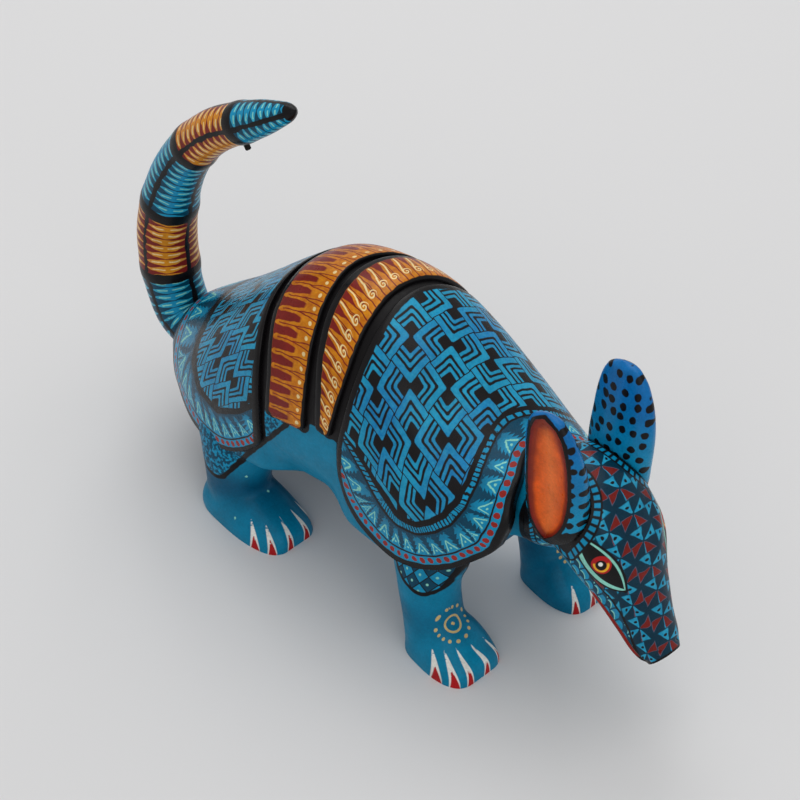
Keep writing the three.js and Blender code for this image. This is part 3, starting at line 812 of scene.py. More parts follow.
def head_paint():
    paint = Paint("painted_head_mosaic")
    s = paint.number("s") + paint.wobble(0.25, 0.3)
    t = paint.number("t") + paint.wobble(0.25, 0.3, 31.0)
    # pinwheels of triangles, cyan with a black dot or dark red
    cell = 8.0
    a_cell, b_cell = s / cell, t / cell + 0.5
    i, j = a_cell.floor(), b_cell.floor()
    a, b = (a_cell - i) - 0.5, (b_cell - j) - 0.5
    angle = paint.math("ARCTAN2", b, a) / (2 * math.pi) + 0.5
    wedge = angle * 8.0 + 0.15
    number = wedge.floor()
    inner = wedge.fract()
    reach = a.abs().max(b.abs())
    blade = paint.below(number.mod(2.0), 0.5, 0.01) * paint.between(
        inner, 0.05, 0.95, 0.05) * paint.between(reach, 0.05, 0.48, 0.02)
    red = paint.below((number * 0.5 + i * 3.0 + j * 2.0).floor().mod(3.0), 0.5, 0.01)
    paint.lay(TEAL_DEEP)
    blue = paint.mix(CYAN, CYAN_PALE, paint.ramp(paint.noise(0.8, 2.0, 12.0), 0.35, 0.65, 0, 0.5))
    paint.lay(blue, blade)
    paint.lay(OXBLOOD, blade * red)
    pip_r = (reach - 0.30).abs() * cell
    pip_a = (inner - 0.5).abs() * 1.6
    pip = paint.below(reach_of(pip_r, pip_a), 0.42) * blade * (1.0 - red)
    paint.lay(BLACK, pip)
    # feather scales along the cheek, in rows
    u, v = paint.number("cheek_u") + paint.wobble(0.2, 0.3), paint.number("cheek_v")
    row_height, pitch = 3.4, 3.8
    row = (v / row_height).floor()
    f_v = (v / row_height).fract()
    f_u = ((u / pitch) + row * 0.5).fract() - 0.5
    cheek = paint.number("cheek_in") + paint.wobble(0.4, 0.25, 3.0)
    on_cheek = paint.above(cheek, 0.0, 0.15)
    paint.lay(TEAL, on_cheek)
    bow = f_v - (0.25 - f_u * f_u) * 1.3
    scale = paint.between(bow, 0.02, 0.62, 0.04) * paint.below(f_u.abs(), 0.42, 0.03)
    paint.lay(CYAN, scale * on_cheek)
    rim = paint.between(bow, 0.0, 0.12, 0.03) * paint.below(f_u.abs(), 0.40, 0.03)
    paint.lay(MINT, rim * on_cheek)
    paint.lay(BLACK, paint.between(cheek, -0.7, 0.1, 0.12))
    # eye: black almond in a mint outline, red and yellow iris
    eu, ev = paint.number("eye_u"), paint.number("eye_v")
    half_length = 10.6
    lid = (1.0 - (eu / half_length) ** 2.0).max(0.0)
    upper, lower = lid * 3.9, lid ** 0.8 * -4.3
    out = (ev - upper).max(lower - ev)
    near = paint.below(eu.abs(), half_length, 0.2)
    paint.lay(BLACK, paint.below(out, 0.75, 0.1) * paint.below(eu.abs(), half_length + 0.8, 0.2))
    paint.lay(MINT, paint.below(out, 0.0, 0.1) * near)
    inner_u = (lid - 0.10).max(0.0)
    out_in = (ev - inner_u * 3.6).max((inner_u * -3.0) - ev)
    paint.lay(BLACK, paint.below(out_in, 0.0, 0.08))
    iu, iv = eu + 0.1, ev - 0.55
    iris = reach_of(iu, iv)
    paint.lay(SIGNAL_RED, paint.below(iris, IRIS, 0.1) * paint.below(out_in, 0.2, 0.1))
    ring = paint.between(iris, 1.55, 2.2, 0.1) * paint.below(iv * 0.7 - iu, 0.6, 0.3)
    paint.lay(YELLOW, ring)
    paint.lay(BLACK, paint.below(iris, PUPIL, 0.1))
    hu, hv = iu + 0.35, iv - 0.15
    paint.lay(WHITE, paint.below(reach_of(hu, hv), HIGHLIGHT, 0.08))
    # mouth, nose and the dashes round each ear
    lip = paint.number("lip")
    along_head = paint.number("place")
    paint.lay(BLACK, paint.below(lip.abs(), 1.7, 0.12) * paint.above(along_head, 0.68, 0.01))
    paint.lay(DARK_RED, paint.below(lip.abs(), 1.3, 0.1) * paint.between(
        along_head, 0.64, 0.945, 0.01))
    paint.lay(BLACK, paint.above(along_head + paint.wobble(0.004, 0.3), 0.990, 0.002))
    ear = paint.number("ear_gap")
    paint.lay(BLACK, paint.below(ear, 3.5, 0.12))
    ticks = paint.between((paint.number("ear_turn") * 34.0).fract(), 0.2, 0.8, 0.07)
    paint.lay(CYAN, paint.between(ear, 1.2, 2.9, 0.1) * ticks)
    neck = paint.number("neck") + paint.wobble(0.3, 0.3, 5.0)
    paint.lay(BLACK, paint.below(neck, 4.4, 0.12))
    ticks = paint.between((paint.number("t") / 1.3).fract(), 0.2, 0.8, 0.07)
    paint.lay(CYAN, paint.between(neck, 2.3, 3.8, 0.1) * ticks)
    return paint.finish(rough=0.32, coat=0.12, bump=0.08, speckle=0.5)


def ear_paint():
    paint = Paint("painted_ear_outside")
    height = paint.number("ear_height")
    fade = paint.ramp(height + paint.wobble(3.0, 0.1), 6.0, 24.0, 0.0, 0.75)
    paint.lay(paint.mix(CYAN, ROYAL, fade))
    spread = 0.27  # dots to a mm
    dots = paint.node("ShaderNodeTexVoronoi", feature="F1", voronoi_dimensions="2D")
    paint.plug(paint.vector("ear_flat"), dots.inputs["Vector"])
    dots.inputs["Scale"].default_value = spread
    dots.inputs["Randomness"].default_value = 0.42
    reach = Value(paint, dots.outputs["Distance"]) / spread
    paint.lay(BLACK, paint.below(reach + paint.wobble(0.22, 0.6), 1.12, 0.1))
    paint.lay(BLACK, paint.below(height, 2.1, 0.12))
    rim = paint.number("rim")
    paint.lay(BLACK, paint.above(rim + paint.wobble(0.25, 0.4), 0.0, 0.12))
    outside = paint.finish(rough=0.3, coat=0.14, bump=0.06, speckle=0.3)

    paint = Paint("painted_ear_hollow")
    depth = paint.number("depth") + paint.wobble(0.18, 0.25)
    middle = paint.number("middle")
    paint.lay(ORANGE)
    # painted highlight: a paler orange down the middle of the hollow; painted shade: deeper
    # orange in random streaks, more of it towards the sides
    streak = paint.ramp(paint.noise(0.35, 3.0, 9.0), 0.35, 0.65, 0.0, 0.6)
    light = paint.ramp(middle, 0.0, 0.55, 0.65, 0.0)
    paint.lay(srgb(238, 130, 62), light)
    paint.lay(ORANGE_DEEP, streak * paint.ramp(middle, 0.15, 0.8, 0.2, 0.8))
    paint.lay(ORANGE_DEEP, paint.ramp(depth, 1.3, 2.1, 1.0, 0.0))
    paint.lay(OXBLOOD, paint.below(depth, 0.9, 0.25))
    paint.lay(BLACK, paint.below(depth, 0.35, 0.12))
    return outside, paint.finish(rough=0.34, coat=0.12, bump=0.05)


def tail_paint():
    paint = Paint("painted_tail")
    place = paint.number("place") + paint.wobble(0.35, 0.3)
    turn = paint.number("turn") + paint.wobble(0.012, 0.3, 9.0)
    segment = paint.number("segment")
    radius = paint.number("radius")
    warm = paint.between(segment, 0.5, 1.5, 0.01) + paint.between(segment, 2.5, 3.5, 0.01)
    paint.lay(paint.mix(TEAL, OXBLOOD, warm))
    # tufts in rows, pointing round the tail from each black line
    pitch = 2.9
    around = turn * 4.0
    quarter = around.fract()
    height = (quarter - 0.5).abs() * 2.0
    row = ((place / pitch).fract() - 0.5).abs() * 2.0
    flame = paint.below(row - (1.0 - height ** 1.4) * 0.88, 0.0, 0.05)
    pale = paint.mix(CYAN, CYAN_PALE, paint.ramp(height, 0.1, 0.9, 0.0, 0.8))
    tan = paint.mix(OCHRE, srgb(214, 150, 70), paint.ramp(height, 0.1, 0.9, 0.0, 0.9))
    paint.lay(paint.mix(pale, tan, warm), flame)
    vein = paint.between(row, 0.0, 0.16, 0.03) * paint.between(height, 0.12, 0.62, 0.03)
    paint.lay(paint.mix(MINT, CREAM, warm), vein)
    from_line = (0.5 - (quarter - 0.5).abs()) * radius * 1.57
    paint.lay(BLACK, paint.below(from_line, 0.75, 0.1))
    paint.lay(BLACK, paint.below(paint.number("ring") + paint.wobble(0.3, 0.3, 2.0), 1.9, 0.12))
    paint.lay(BLACK, paint.above(paint.number("tip"), 0.0, 0.12))
    return paint.finish(rough=0.32, coat=0.12, bump=0.08, speckle=0.3)


def wood_look(name, color, dark, rough):
    paint = Paint(name)
    rings = paint.node("ShaderNodeTexWave", wave_type="BANDS", bands_direction="Y")
    paint.plug(paint.at, rings.inputs["Vector"])
    rings.inputs["Scale"].default_value = 0.55
    rings.inputs["Distortion"].default_value = 5.0
    rings.inputs["Detail"].default_value = 3.0
    paint.lay(paint.mix(color, dark, Value(paint, rings.outputs["Fac"]) * 0.8))
    return paint.finish(rough=rough, coat=0.0, bump=0.12)


WOOD = wood_look("bare_wood_grain", srgb(214, 176, 120), srgb(176, 130, 78), 0.72)
SOCKET = wood_look("black_socket_paint", BLACK, srgb(40, 34, 30), 0.5)

# ---- Where things lie ------------------------------------------------------------------------
def nearest(points, path):
    """For each point: the distance to the nearest sample of a path, and that sample's number."""
    tree = KDTree(len(path))
    for i, p in enumerate(path):
        tree.insert(p, i)
    tree.balance()
    found = [tree.find(p) for p in points]
    return np.array([f[2] for f in found]), np.array([f[1] for f in found])


def resample(path, step=0.25):
    """A polyline with samples every `step` mm, and each sample's length along it."""
    lengths = np.concatenate([[0], np.cumsum(np.linalg.norm(np.diff(path, axis=0), axis=1))])
    at = np.arange(0, lengths[-1], step)
    return np.stack([np.interp(at, lengths, path[:, k]) for k in range(3)], -1), at


def inside_outline(x, y, outline):
    """Whether points lie inside a closed outline, by counting crossings."""
    inside = np.zeros(len(x), bool)
    for (x0, y0), (x1, y1) in zip(outline, np.roll(outline, -1, axis=0)):
        crosses = (y0 > y) != (y1 > y)
        with np.errstate(divide="ignore", invalid="ignore"):
            hit = x < (x1 - x0) * (y - y0) / (y1 - y0) + x0
        inside ^= crosses & hit
    return inside


MM_PER_DEGREE = 0.6  # round the shell, roughly
EDGE_OFFSETS = np.array([0.0, 0.0, 0.12, 0.4, 0.85, 1.5])
EDGE_DEPTHS = np.array([PLATE_STEP + PLATE_ROOT, 0.85, 0.42, 0.16, 0.04, 0.0])
CORNER_ROUNDING = {"shield_front": 6.0, "shield_rear": 6.0, "band_front": 1.6, "band_rear": 1.6}


class Plate:
    def __init__(self, name):
        rows = PLATES[name]
        self.name, self.end = name, rows[-1][0]
        self.table = Table([[-d, r, f] for d, r, f in rows[:0:-1]] + rows)

    def edges(self, degrees):
        """Rear and front edge at so many degrees, with the plate's corners rounded."""
        rear, front = np.moveaxis(self.table(degrees), -1, 0)
        rounding = CORNER_ROUNDING[self.name]
        left = np.clip((self.end - np.abs(degrees)) * MM_PER_DEGREE / rounding, 0, 1)
        corner = (1 - np.sqrt(1 - (1 - left) ** 2)) * rounding / SHELL_LENGTH
        pinch = np.minimum(corner, (front - rear) * 0.4)
        return rear + pinch, front - pinch

    def path(self, edge, start, stop, inset=0.0, steps=200):
        degrees = np.linspace(start, stop, steps)
        return on_shell(self.edges(degrees)[edge], degrees, inset)

    def build(self, columns, rows):
        def stations(count):
            steps = np.linspace(0, 1, count)[1:-1]
            offset = np.concatenate([EDGE_OFFSETS, np.zeros(count - 2), -EDGE_OFFSETS[::-1]])
            share = np.concatenate([np.zeros(6), steps, np.ones(6)])
            depth = np.concatenate([EDGE_DEPTHS, np.zeros(count - 2), EDGE_DEPTHS[::-1]])
            return share, offset, depth

        across, off_across, deep_across = stations(columns)
        around, off_around, deep_around = stations(rows)
        degrees = (around * 2 - 1) * self.end + off_around / MM_PER_DEGREE
        rear, front = self.edges(degrees)
        margin = EDGE_OFFSETS[-1] / SHELL_LENGTH
        low, high = rear[:, None] + margin, front[:, None] - margin
        share = np.where(across == 0, rear[:, None], np.where(
            across == 1, front[:, None], low + (high - low) * across))
        share = share + off_across / SHELL_LENGTH
        depth = np.maximum(deep_around[:, None], deep_across[None, :])
        turn = np.broadcast_to(degrees[:, None], share.shape)
        points = on_shell(share, turn, depth).reshape(-1, 3)
        n, m = share.shape
        faces = [(i * m + j, i * m + j + 1, (i + 1) * m + j + 1, (i + 1) * m + j)
                 for i in range(n - 1) for j in range(m - 1)]
        faces += [(i * m, (i + 1) * m, (i + 1) * m + m - 1, i * m + m - 1) for i in range(n - 1)]
        faces += [tuple(range(m)), tuple(range(n * m - 1, n * m - m - 1, -1))]
        obj = make_object(self.name, points, faces)
        store(obj, "rest", points)
        store(obj, "drop", depth.ravel())
        self.share, self.degrees = share.ravel(), turn.ravel()
        self.surface = on_shell(self.share, self.degrees)
        store(obj, "t", self.arc(on_degrees=True))
        return obj

    def arc(self, on_degrees, start=0.63, steps=48):
        """Signed arc length to each vertex: round the back from its crown, or along it."""
        total = np.zeros(len(self.share))
        before = None
        for f in np.linspace(0, 1, steps):
            if on_degrees:
                here = on_shell(self.share, self.degrees * f)
            else:
                here = on_shell(start + (self.share - start) * f, self.degrees)
            if before is not None:
                total += np.linalg.norm(here - before, axis=1)
            before = here
        return total * np.sign(self.degrees if on_degrees else self.share - start)

    def paint_shield(self, obj, main):
        """Border and field coordinates; main is the edge (0 rear, 1 front) the border follows."""
        other, corner = 1 - main, CORNER[self.name]
        ends = np.array(BORDER_ENDS[self.name])
        rim = np.vstack([
            on_shell(ends[:, 1], -ends[:, 0]),
            self.path(other, -corner, -self.end, steps=60),
            self.path(main, -self.end, self.end, steps=400),
            self.path(other, self.end, corner, steps=60),
            on_shell(ends[::-1, 1], ends[::-1, 0]),
        ])
        rim, length = resample(rim)
        field = FIELD_EDGES[self.name]
        field = np.array([[-d, s] for d, s in field[:0:-1]] + field, float)
        fine = np.linspace(0, len(field) - 1, 600)
        field = np.stack([np.interp(fine, range(len(field)), field[:, k]) for k in (0, 1)], -1)
        border_path, _ = resample(on_shell(field[:, 1], field[:, 0]))
        from_rim, k = nearest(self.surface, rim)
        from_field, _ = nearest(self.surface, border_path)
        inside = inside_outline(self.degrees, self.share, field)
        width = np.where(inside, np.maximum(from_rim - from_field, 9), from_rim + from_field)
        store(obj, "band", np.where(inside, 1 + from_field / width, from_rim / width))
        store(obj, "band_width", width)
        store(obj, "q", length[k] - length[-1] / 2)
        store(obj, "s", self.arc(on_degrees=False))
        store(obj, "stripe", nearest(
            self.surface, resample(self.path(other, -corner, corner, steps=300))[0])[0])

    def paint_band(self, obj):
        for edge, name in ((0, "rear"), (1, "front")):
            path = resample(self.path(edge, -self.end, self.end, steps=300))[0]
            store(obj, name, nearest(self.surface, path)[0])


def dress(obj, paint, body, slot, *nodes):
    if len(obj.data.materials):
        obj.data.materials[0] = paint
    else:
        obj.data.materials.append(paint)
    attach(obj, body)
    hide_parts(*nodes)


# ---- Shell plates ----------------------------------------------------------------------------
plates = {name: Plate(name) for name in PLATES}
shield_looks = {
    "shield_front": shield_paint("painted_shield_front", True),
    "shield_rear": shield_paint("painted_shield_rear", False),
}
for name, main, columns in (("shield_front", 1, 150), ("shield_rear", 0, 140)):
    obj = plates[name].build(columns, 300)
    plates[name].paint_shield(obj, main)
    dress(obj, shield_looks[name], "figure", "painted_body", "body")
for name, scrolled in (("band_rear", False), ("band_front", True)):
    obj = plates[name].build(44, 240)
    plates[name].paint_band(obj)
    dress(obj, band_paint("painted_" + name, scrolled), "figure", "painted_body", "body")

# ---- Tail ------------------------------------------------------------------------------------
TAIL_SEAT = np.array([float(along(0.045)), 0, 0.33 * BACK_HEIGHT])
TAIL_RISE = math.radians(14)
TAIL_AXIS = np.array([-math.cos(TAIL_RISE), 0, math.sin(TAIL_RISE)])
TAIL_REACH, TAIL_HEIGHT = 60.0, 108.0
TAIL_HOOK = [
    [0, 0], [-0.1, 0.028], [-0.165, 0.1], [-0.195, 0.19], [-0.195, 0.305], [-0.145, 0.43],
    [-0.075, 0.53], [0.04, 0.635], [0.22, 0.745], [0.48, 0.85], [0.78, 0.965],
]
TAIL_TAPER = Table([
    [0, 0.8], [0.12, 0.9], [0.3, 1], [0.45, 0.88], [0.6, 0.72], [0.75, 0.62], [0.88, 0.46],
    [0.96, 0.18], [1, 0],
])
TAIL_RINGS = (0.225, 0.405, 0.615, 0.815)  # painted rings, as places along the tail
RING_RISE, RING_WIDTH = 0.38, 3.2  # mm
TAIL_BLUNT = 0.965  # where the end starts to round off
TAIL_BLACK_TIP = 0.978
PIN_PLACE = 0.79


def centripetal(points, samples=60):
    """A centripetal Catmull-Rom curve through points, finely sampled."""
    points = np.array(points, float)
    points = np.vstack([2 * points[0] - points[1], points, 2 * points[-1] - points[-2]])
    out = []
    for p0, p1, p2, p3 in zip(points, points[1:], points[2:], points[3:]):
        k0 = 0.0
        k1 = k0 + np.linalg.norm(p1 - p0) ** 0.5
        k2 = k1 + np.linalg.norm(p2 - p1) ** 0.5
        k3 = k2 + np.linalg.norm(p3 - p2) ** 0.5
        for k in np.linspace(k1, k2, samples, endpoint=False):
            a1 = (k1 - k) / (k1 - k0) * p0 + (k - k0) / (k1 - k0) * p1
            a2 = (k2 - k) / (k2 - k1) * p1 + (k - k1) / (k2 - k1) * p2
            a3 = (k3 - k) / (k3 - k2) * p2 + (k - k2) / (k3 - k2) * p3
            b1 = (k2 - k) / (k2 - k0) * a1 + (k - k0) / (k2 - k0) * a2
            b2 = (k3 - k) / (k3 - k1) * a2 + (k - k1) / (k3 - k1) * a3
            out.append((k2 - k) / (k2 - k1) * b1 + (k - k1) / (k2 - k1) * b2)
    out.append(points[-2])
    return np.array(out)


tail_path = centripetal([TAIL_SEAT - TAIL_AXIS * TAIL_BASE_RADIUS] + [
    TAIL_SEAT + [reach * TAIL_REACH, 0, height * TAIL_HEIGHT] for reach, height in TAIL_HOOK])
tail_lengths = np.concatenate(
    [[0], np.cumsum(np.linalg.norm(np.diff(tail_path, axis=0), axis=1))])
TAIL_LENGTH = tail_lengths[-1]


def tail_point(place):
    at = np.asarray(place, float) * TAIL_LENGTH
    return np.stack([np.interp(at, tail_lengths, tail_path[:, k]) for k in range(3)], -1)


def tail_radius(place):
    radius = lerp(TAIL_TIP_RADIUS, TAIL_BASE_RADIUS, TAIL_TAPER(place)[..., 0])
    place = np.asarray(place, float)
    for ring in TAIL_RINGS:
        radius = radius + RING_RISE * np.exp(-((place - ring) * TAIL_LENGTH / RING_WIDTH) ** 2)
    end = np.clip((place - TAIL_BLUNT) / (1 - TAIL_BLUNT), 0, 1)
    return (radius - 0.2 * smoothstep(place, 0.1, 0.2)) * np.sqrt(1 - 0.97 * end ** 2)


def build_tail():
    fine = np.linspace(0, 1, 121)
    centres, radii = tail_point(fine), tail_radius(fine)
    limb = Limb([[p, *c, r, r] for p, c, r in zip(fine, centres, radii)], (0, 1, 0))
    obj = limb.build("tail_hook", 96, 300)
    root_waste = bar("root_waste", TAIL_SEAT + TAIL_AXIS * CLEARANCE / 2,
                     TAIL_SEAT - TAIL_AXIS * 3 * TAIL_BASE_RADIUS, 2 * TAIL_BASE_RADIUS)
    pin, axis, end = pin_place()
    bore = bar("pin_bore", pin - axis * 0.5, pin + axis * (end + 3), TAIL_PIN_RADIUS + CLEARANCE)
    cut(obj, [(root_waste, WOOD), (bore, SOCKET)])
    points = rest_points(obj)
    path, at = resample(tail_path)
    _, k = nearest(points, path)
    place = at[k] / TAIL_LENGTH
    wide, deep = limb.axes(place)
    away = points - tail_point(place)
    turn = np.arctan2((away * deep).sum(1), (away * wide).sum(1)) / (2 * math.pi)
    store(obj, "rest", points)
    store(obj, "place", at[k])
    store(obj, "turn", np.abs(turn))
    store(obj, "radius", tail_radius(place))
    rings = np.array(TAIL_RINGS)
    store(obj, "ring", np.abs(place[:, None] - rings).min(1) * TAIL_LENGTH)
    store(obj, "segment", (place[:, None] > rings).sum(1))
    store(obj, "tip", (place - TAIL_BLACK_TIP) * TAIL_LENGTH)
    dress(obj, tail_paint(), "tail", "painted_tail", "tail")


def pin_place():
    """The middle of the little peg through the tail, its axis, and how far it reaches."""
    step = 0.002
    tangent = unit(tail_point(PIN_PLACE + step) - tail_point(PIN_PLACE - step))
    axis = unit(np.cross([0, 1, 0], tangent))
    radius = lerp(TAIL_TIP_RADIUS, TAIL_BASE_RADIUS, float(TAIL_TAPER(PIN_PLACE)[0]))
    return tail_point(PIN_PLACE), axis, radius + TAIL_PIN_PROUD


build_tail()


def dowel(name, seat, axis, behind, ahead, radius, body, node, bevel=0.7):
    obj = bar(name, seat - axis * behind, seat + axis * ahead, radius, 64, bevel)
    store(obj, "rest", rest_points(obj))
    dress(obj, WOOD, body, "bare_wood", node)


pin, pin_axis, pin_end = pin_place()
nub = bar("tail_nub", pin - pin_axis * 0.4, pin + pin_axis * pin_end, TAIL_PIN_RADIUS, 32, 0.35)
store(nub, "rest", rest_points(nub))
nub_look = wood_look("black_peg_paint", BLACK, srgb(34, 30, 28), 0.45)
dress(nub, nub_look, "tail", "black_paint", "tail_pin")
dowel("tail_root_peg", TAIL_SEAT, TAIL_AXIS, TAIL_PEG_LENGTH - TAIL_PEG_IN_TAIL,
      TAIL_PEG_IN_TAIL, TAIL_PEG_RADIUS, "tail", "tail_peg")

# ---- Head and ears ---------------------------------------------------------------------------
neck = block_section(NECK_SEAM)
NECK = np.array([SEAM_X, 0, (neck[0] + neck[3]) / 2])
NECK_HALF = neck[1] - PLATE_STEP
NECK_DEEP = (neck[0] - neck[3]) / 2 - PLATE_STEP
FORWARD = np.array([1.0, 0, 0])
dowel("neck_peg", NECK, FORWARD, NECK_DOWEL_LENGTH / 2, NECK_DOWEL_LENGTH / 2,
      NECK_DOWEL_RADIUS, "figure", "neck_dowel")

HEAD_SECTIONS = [
    [0.30, 0.176, 0.150, 1.00, 1.00], [0.42, 0.290, 0.078, 1.03, 0.92],
    [0.55, 0.392, -0.045, 0.95, 0.78], [0.68, 0.480, -0.190, 0.74, 0.64],
    [0.82, 0.572, -0.345, 0.56, 0.52], [0.93, 0.650, -0.450, 0.48, 0.40],
    [1.00, 0.705, -0.505, 0.36, 0.28],
]
head_limb = Limb(
    [[0, NECK[0] - 0.12 * HEAD_LENGTH, 0, NECK[2], NECK_HALF, NECK_DEEP],
     [0.12, NECK[0], 0, NECK[2], NECK_HALF, NECK_DEEP]]
    + [[place, NECK[0] + ahead * HEAD_LENGTH, 0, NECK[2] + up * HEAD_LENGTH,
        wide * HEAD_HALF_WIDTH, deep * HEAD_HALF_DEPTH]
       for place, ahead, up, wide, deep in HEAD_SECTIONS],
    (0, 1, 0), 2.2)

EAR_TILT = math.radians(62)
EAR_PLACE = (11.0, 11.5, 14.0)
EAR_ROOT = 0.25
EAR_PULL = 12.0


def ear_frame(side):
    seat = NECK + [EAR_PLACE[0], side * EAR_PLACE[1], EAR_PLACE[2]]
    return seat, np.array([0, side * math.sin(EAR_TILT), math.cos(EAR_TILT)])


# Along the ear: share of its length, forwards, outwards, width, thickness.
EAR_ROWS = [(0, 0, 1, 0.6, 0.7), (0.12, 0, 1, 0.86, 0.95), (0.35, 0, 1, 1, 1),
            (0.6, 0, 2, 0.99, 0.85), (0.8, -1, 3, 0.86, 0.62), (0.93, -2, 3.5, 0.62, 0.42),
            (0.975, -2.4, 3.5, 0.41, 0.3), (1, -2.6, 3.5, 0.04, 0.04)]
# Along the hollow: share of the ear's length, width as a share of the ear's, depth in mm.
HOLLOW_ROWS = [(0.05, 0.1, 0.8), (0.12, 0.5, 2.4), (0.22, 0.8, 3.3), (0.36, 0.96, 3.5),
               (0.6, 1.0, 3.1), (0.8, 1.0, 2.4), (0.9, 0.92, 1.8), (0.955, 0.7, 1.1),
               (0.975, 0.2, 0.5)]


def ear_leaf(side, grow=0.0, shift=(0.0, 0.0, 0.0)):
    seat, _ = ear_frame(side)
    x, y, z = seat + shift
    return Limb([[share, x + forwards, y + side * lean, z + (share - EAR_ROOT) * EAR_LENGTH,
                  max(wide * EAR_HALF_WIDTH + grow, 0.5),
                  max(deep * EAR_HALF_THICKNESS + grow, 0.4)]
                 for share, forwards, lean, wide, deep in EAR_ROWS], (1, 0, 0))


def ear_hollow(side):
    """The tool that hollows the ear's outer face, pointed at both ends."""
    seat, _ = ear_frame(side)
    shape = Table(EAR_ROWS)
    first, last = HOLLOW_ROWS[0][0], HOLLOW_ROWS[-1][0]
    stations = []
    for share, part, bite in HOLLOW_ROWS:
        forwards, lean, wide, deep = shape(share)
        thick = deep * EAR_HALF_THICKNESS
        half = max(thick - EAR_LIP, 1.4)
        out = lean + thick + half - bite
        middle = seat + [forwards, side * out, (share - EAR_ROOT) * EAR_LENGTH]
        stations.append([(share - first) / (last - first), *middle,
                         max(part * (wide * EAR_HALF_WIDTH - EAR_LIP), 0.5), half])
    return Limb(stations, (1, 0, 0))


def slice_plane(obj, point, normal):
    """Keeps what lies on the side of the plane that the normal points to, and closes the cut."""
    with editing(obj) as bm:
        bmesh.ops.bisect_plane(bm, geom=bm.verts[:] + bm.edges[:] + bm.faces[:],
                               plane_co=to_frame([point])[0], plane_no=normal, clear_inner=True)
        bmesh.ops.holes_fill(bm, edges=[e for e in bm.edges if e.is_boundary], sides=0)
        bmesh.ops.recalc_face_normals(bm, faces=bm.faces)
    obj.data.shade_smooth()
    sharpen(obj)


# The almond of the right eye: its middle in mm, and the directions of its length and height.
EYE = np.array([103.2, -11.4, 59.1])
EYE_LONG = unit([0.635, 0.27, -0.72])
EYE_SHORT = unit([0.58, 0.44, 0.68])
LIP_DEGREES = 105.0  # from the top of the head down to the mouth
HEAD_AROUND, HEAD_RINGS = 220, 260


def on_right_side(points):
    """Points with those of the left half mirrored to the right."""
    mirrored = np.array(points)
    mirrored[..., 1] = -np.abs(mirrored[..., 1])
    return mirrored


def from_top(turn):
    return (np.degrees(turn) - 90 + 180) % 360 - 180


def hill(height, u, wide, v, deep):
    """A rounded rise, or a hollow where its height is negative, over a width and a depth."""
    return height * np.exp(-(u / wide) ** 2 - (v / deep) ** 2)


def head_coordinates(points):
    """For head points: place, degrees from the top (positive to the figure's right), radius, and
    length along the surface back from the nose."""
    t = np.linspace(0, 1, HEAD_RINGS + 2)[1:-1]
    turn = np.arange(HEAD_AROUND) * 2 * math.pi / HEAD_AROUND
    t, turn = np.meshgrid(t, turn, indexing="ij")
    skin = head_surface(t, turn)
    steps = np.linalg.norm(np.diff(skin[::-1], axis=0), axis=2)
    length = np.concatenate([np.zeros((1, HEAD_AROUND)), np.cumsum(steps, axis=0)])[::-1]
    radius = np.linalg.norm(skin - head_limb.table(rounded_end(t))[..., :3], axis=2)
    degrees = from_top(turn)
    _, k = nearest(points, skin.reshape(-1, 3))
    return (rounded_end(t).ravel()[k], degrees.ravel()[k], radius.ravel()[k],
            length.ravel()[k])


def head_surface(t, turn):
    """The head's block with bulging eyes, brows, a carved mouth and nostrils."""
    place = rounded_end(t)
    points = head_limb.point(place, turn)
    closed = (t <= 0) | (t >= 1)
    centre = head_limb.table(place)[..., :3]
    points[closed] = centre[closed]
    outward = unit(points - centre)
    outward[closed] = 0
    degrees = np.abs(from_top(turn))
    eye = on_right_side(points) - EYE
    u, v = eye @ EYE_LONG, eye @ EYE_SHORT
    bulge = hill(0.75, u, 6.5, v, 3.2)
    brow = hill(0.7, u, 9, v - 6.2, 2.0)
    under = hill(-0.5, u, 8, v + 6.0, 1.8)
    radius = np.linalg.norm(points - centre, axis=-1)
    lip = np.radians(degrees - LIP_DEGREES) * radius
    on_mouth = smoothstep(place, 0.62, 0.68) * (1 - smoothstep(place, 0.965, 0.985))
    groove = -0.8 * np.exp(-(lip / 0.6) ** 2) * on_mouth
    lips = 0.35 * np.exp(-((np.abs(lip) - 1.5) / 0.8) ** 2) * on_mouth
    nostril = hill(-0.7, place - 0.965, 0.008, degrees - 38, 11)
    lift = bulge + brow + under + groove + lips + nostril
    lift = lift * (1 - smoothstep(place, 0.985, 0.999)) * smoothstep(place, 0.2, 0.3)
    return points + outward * lift[..., None]


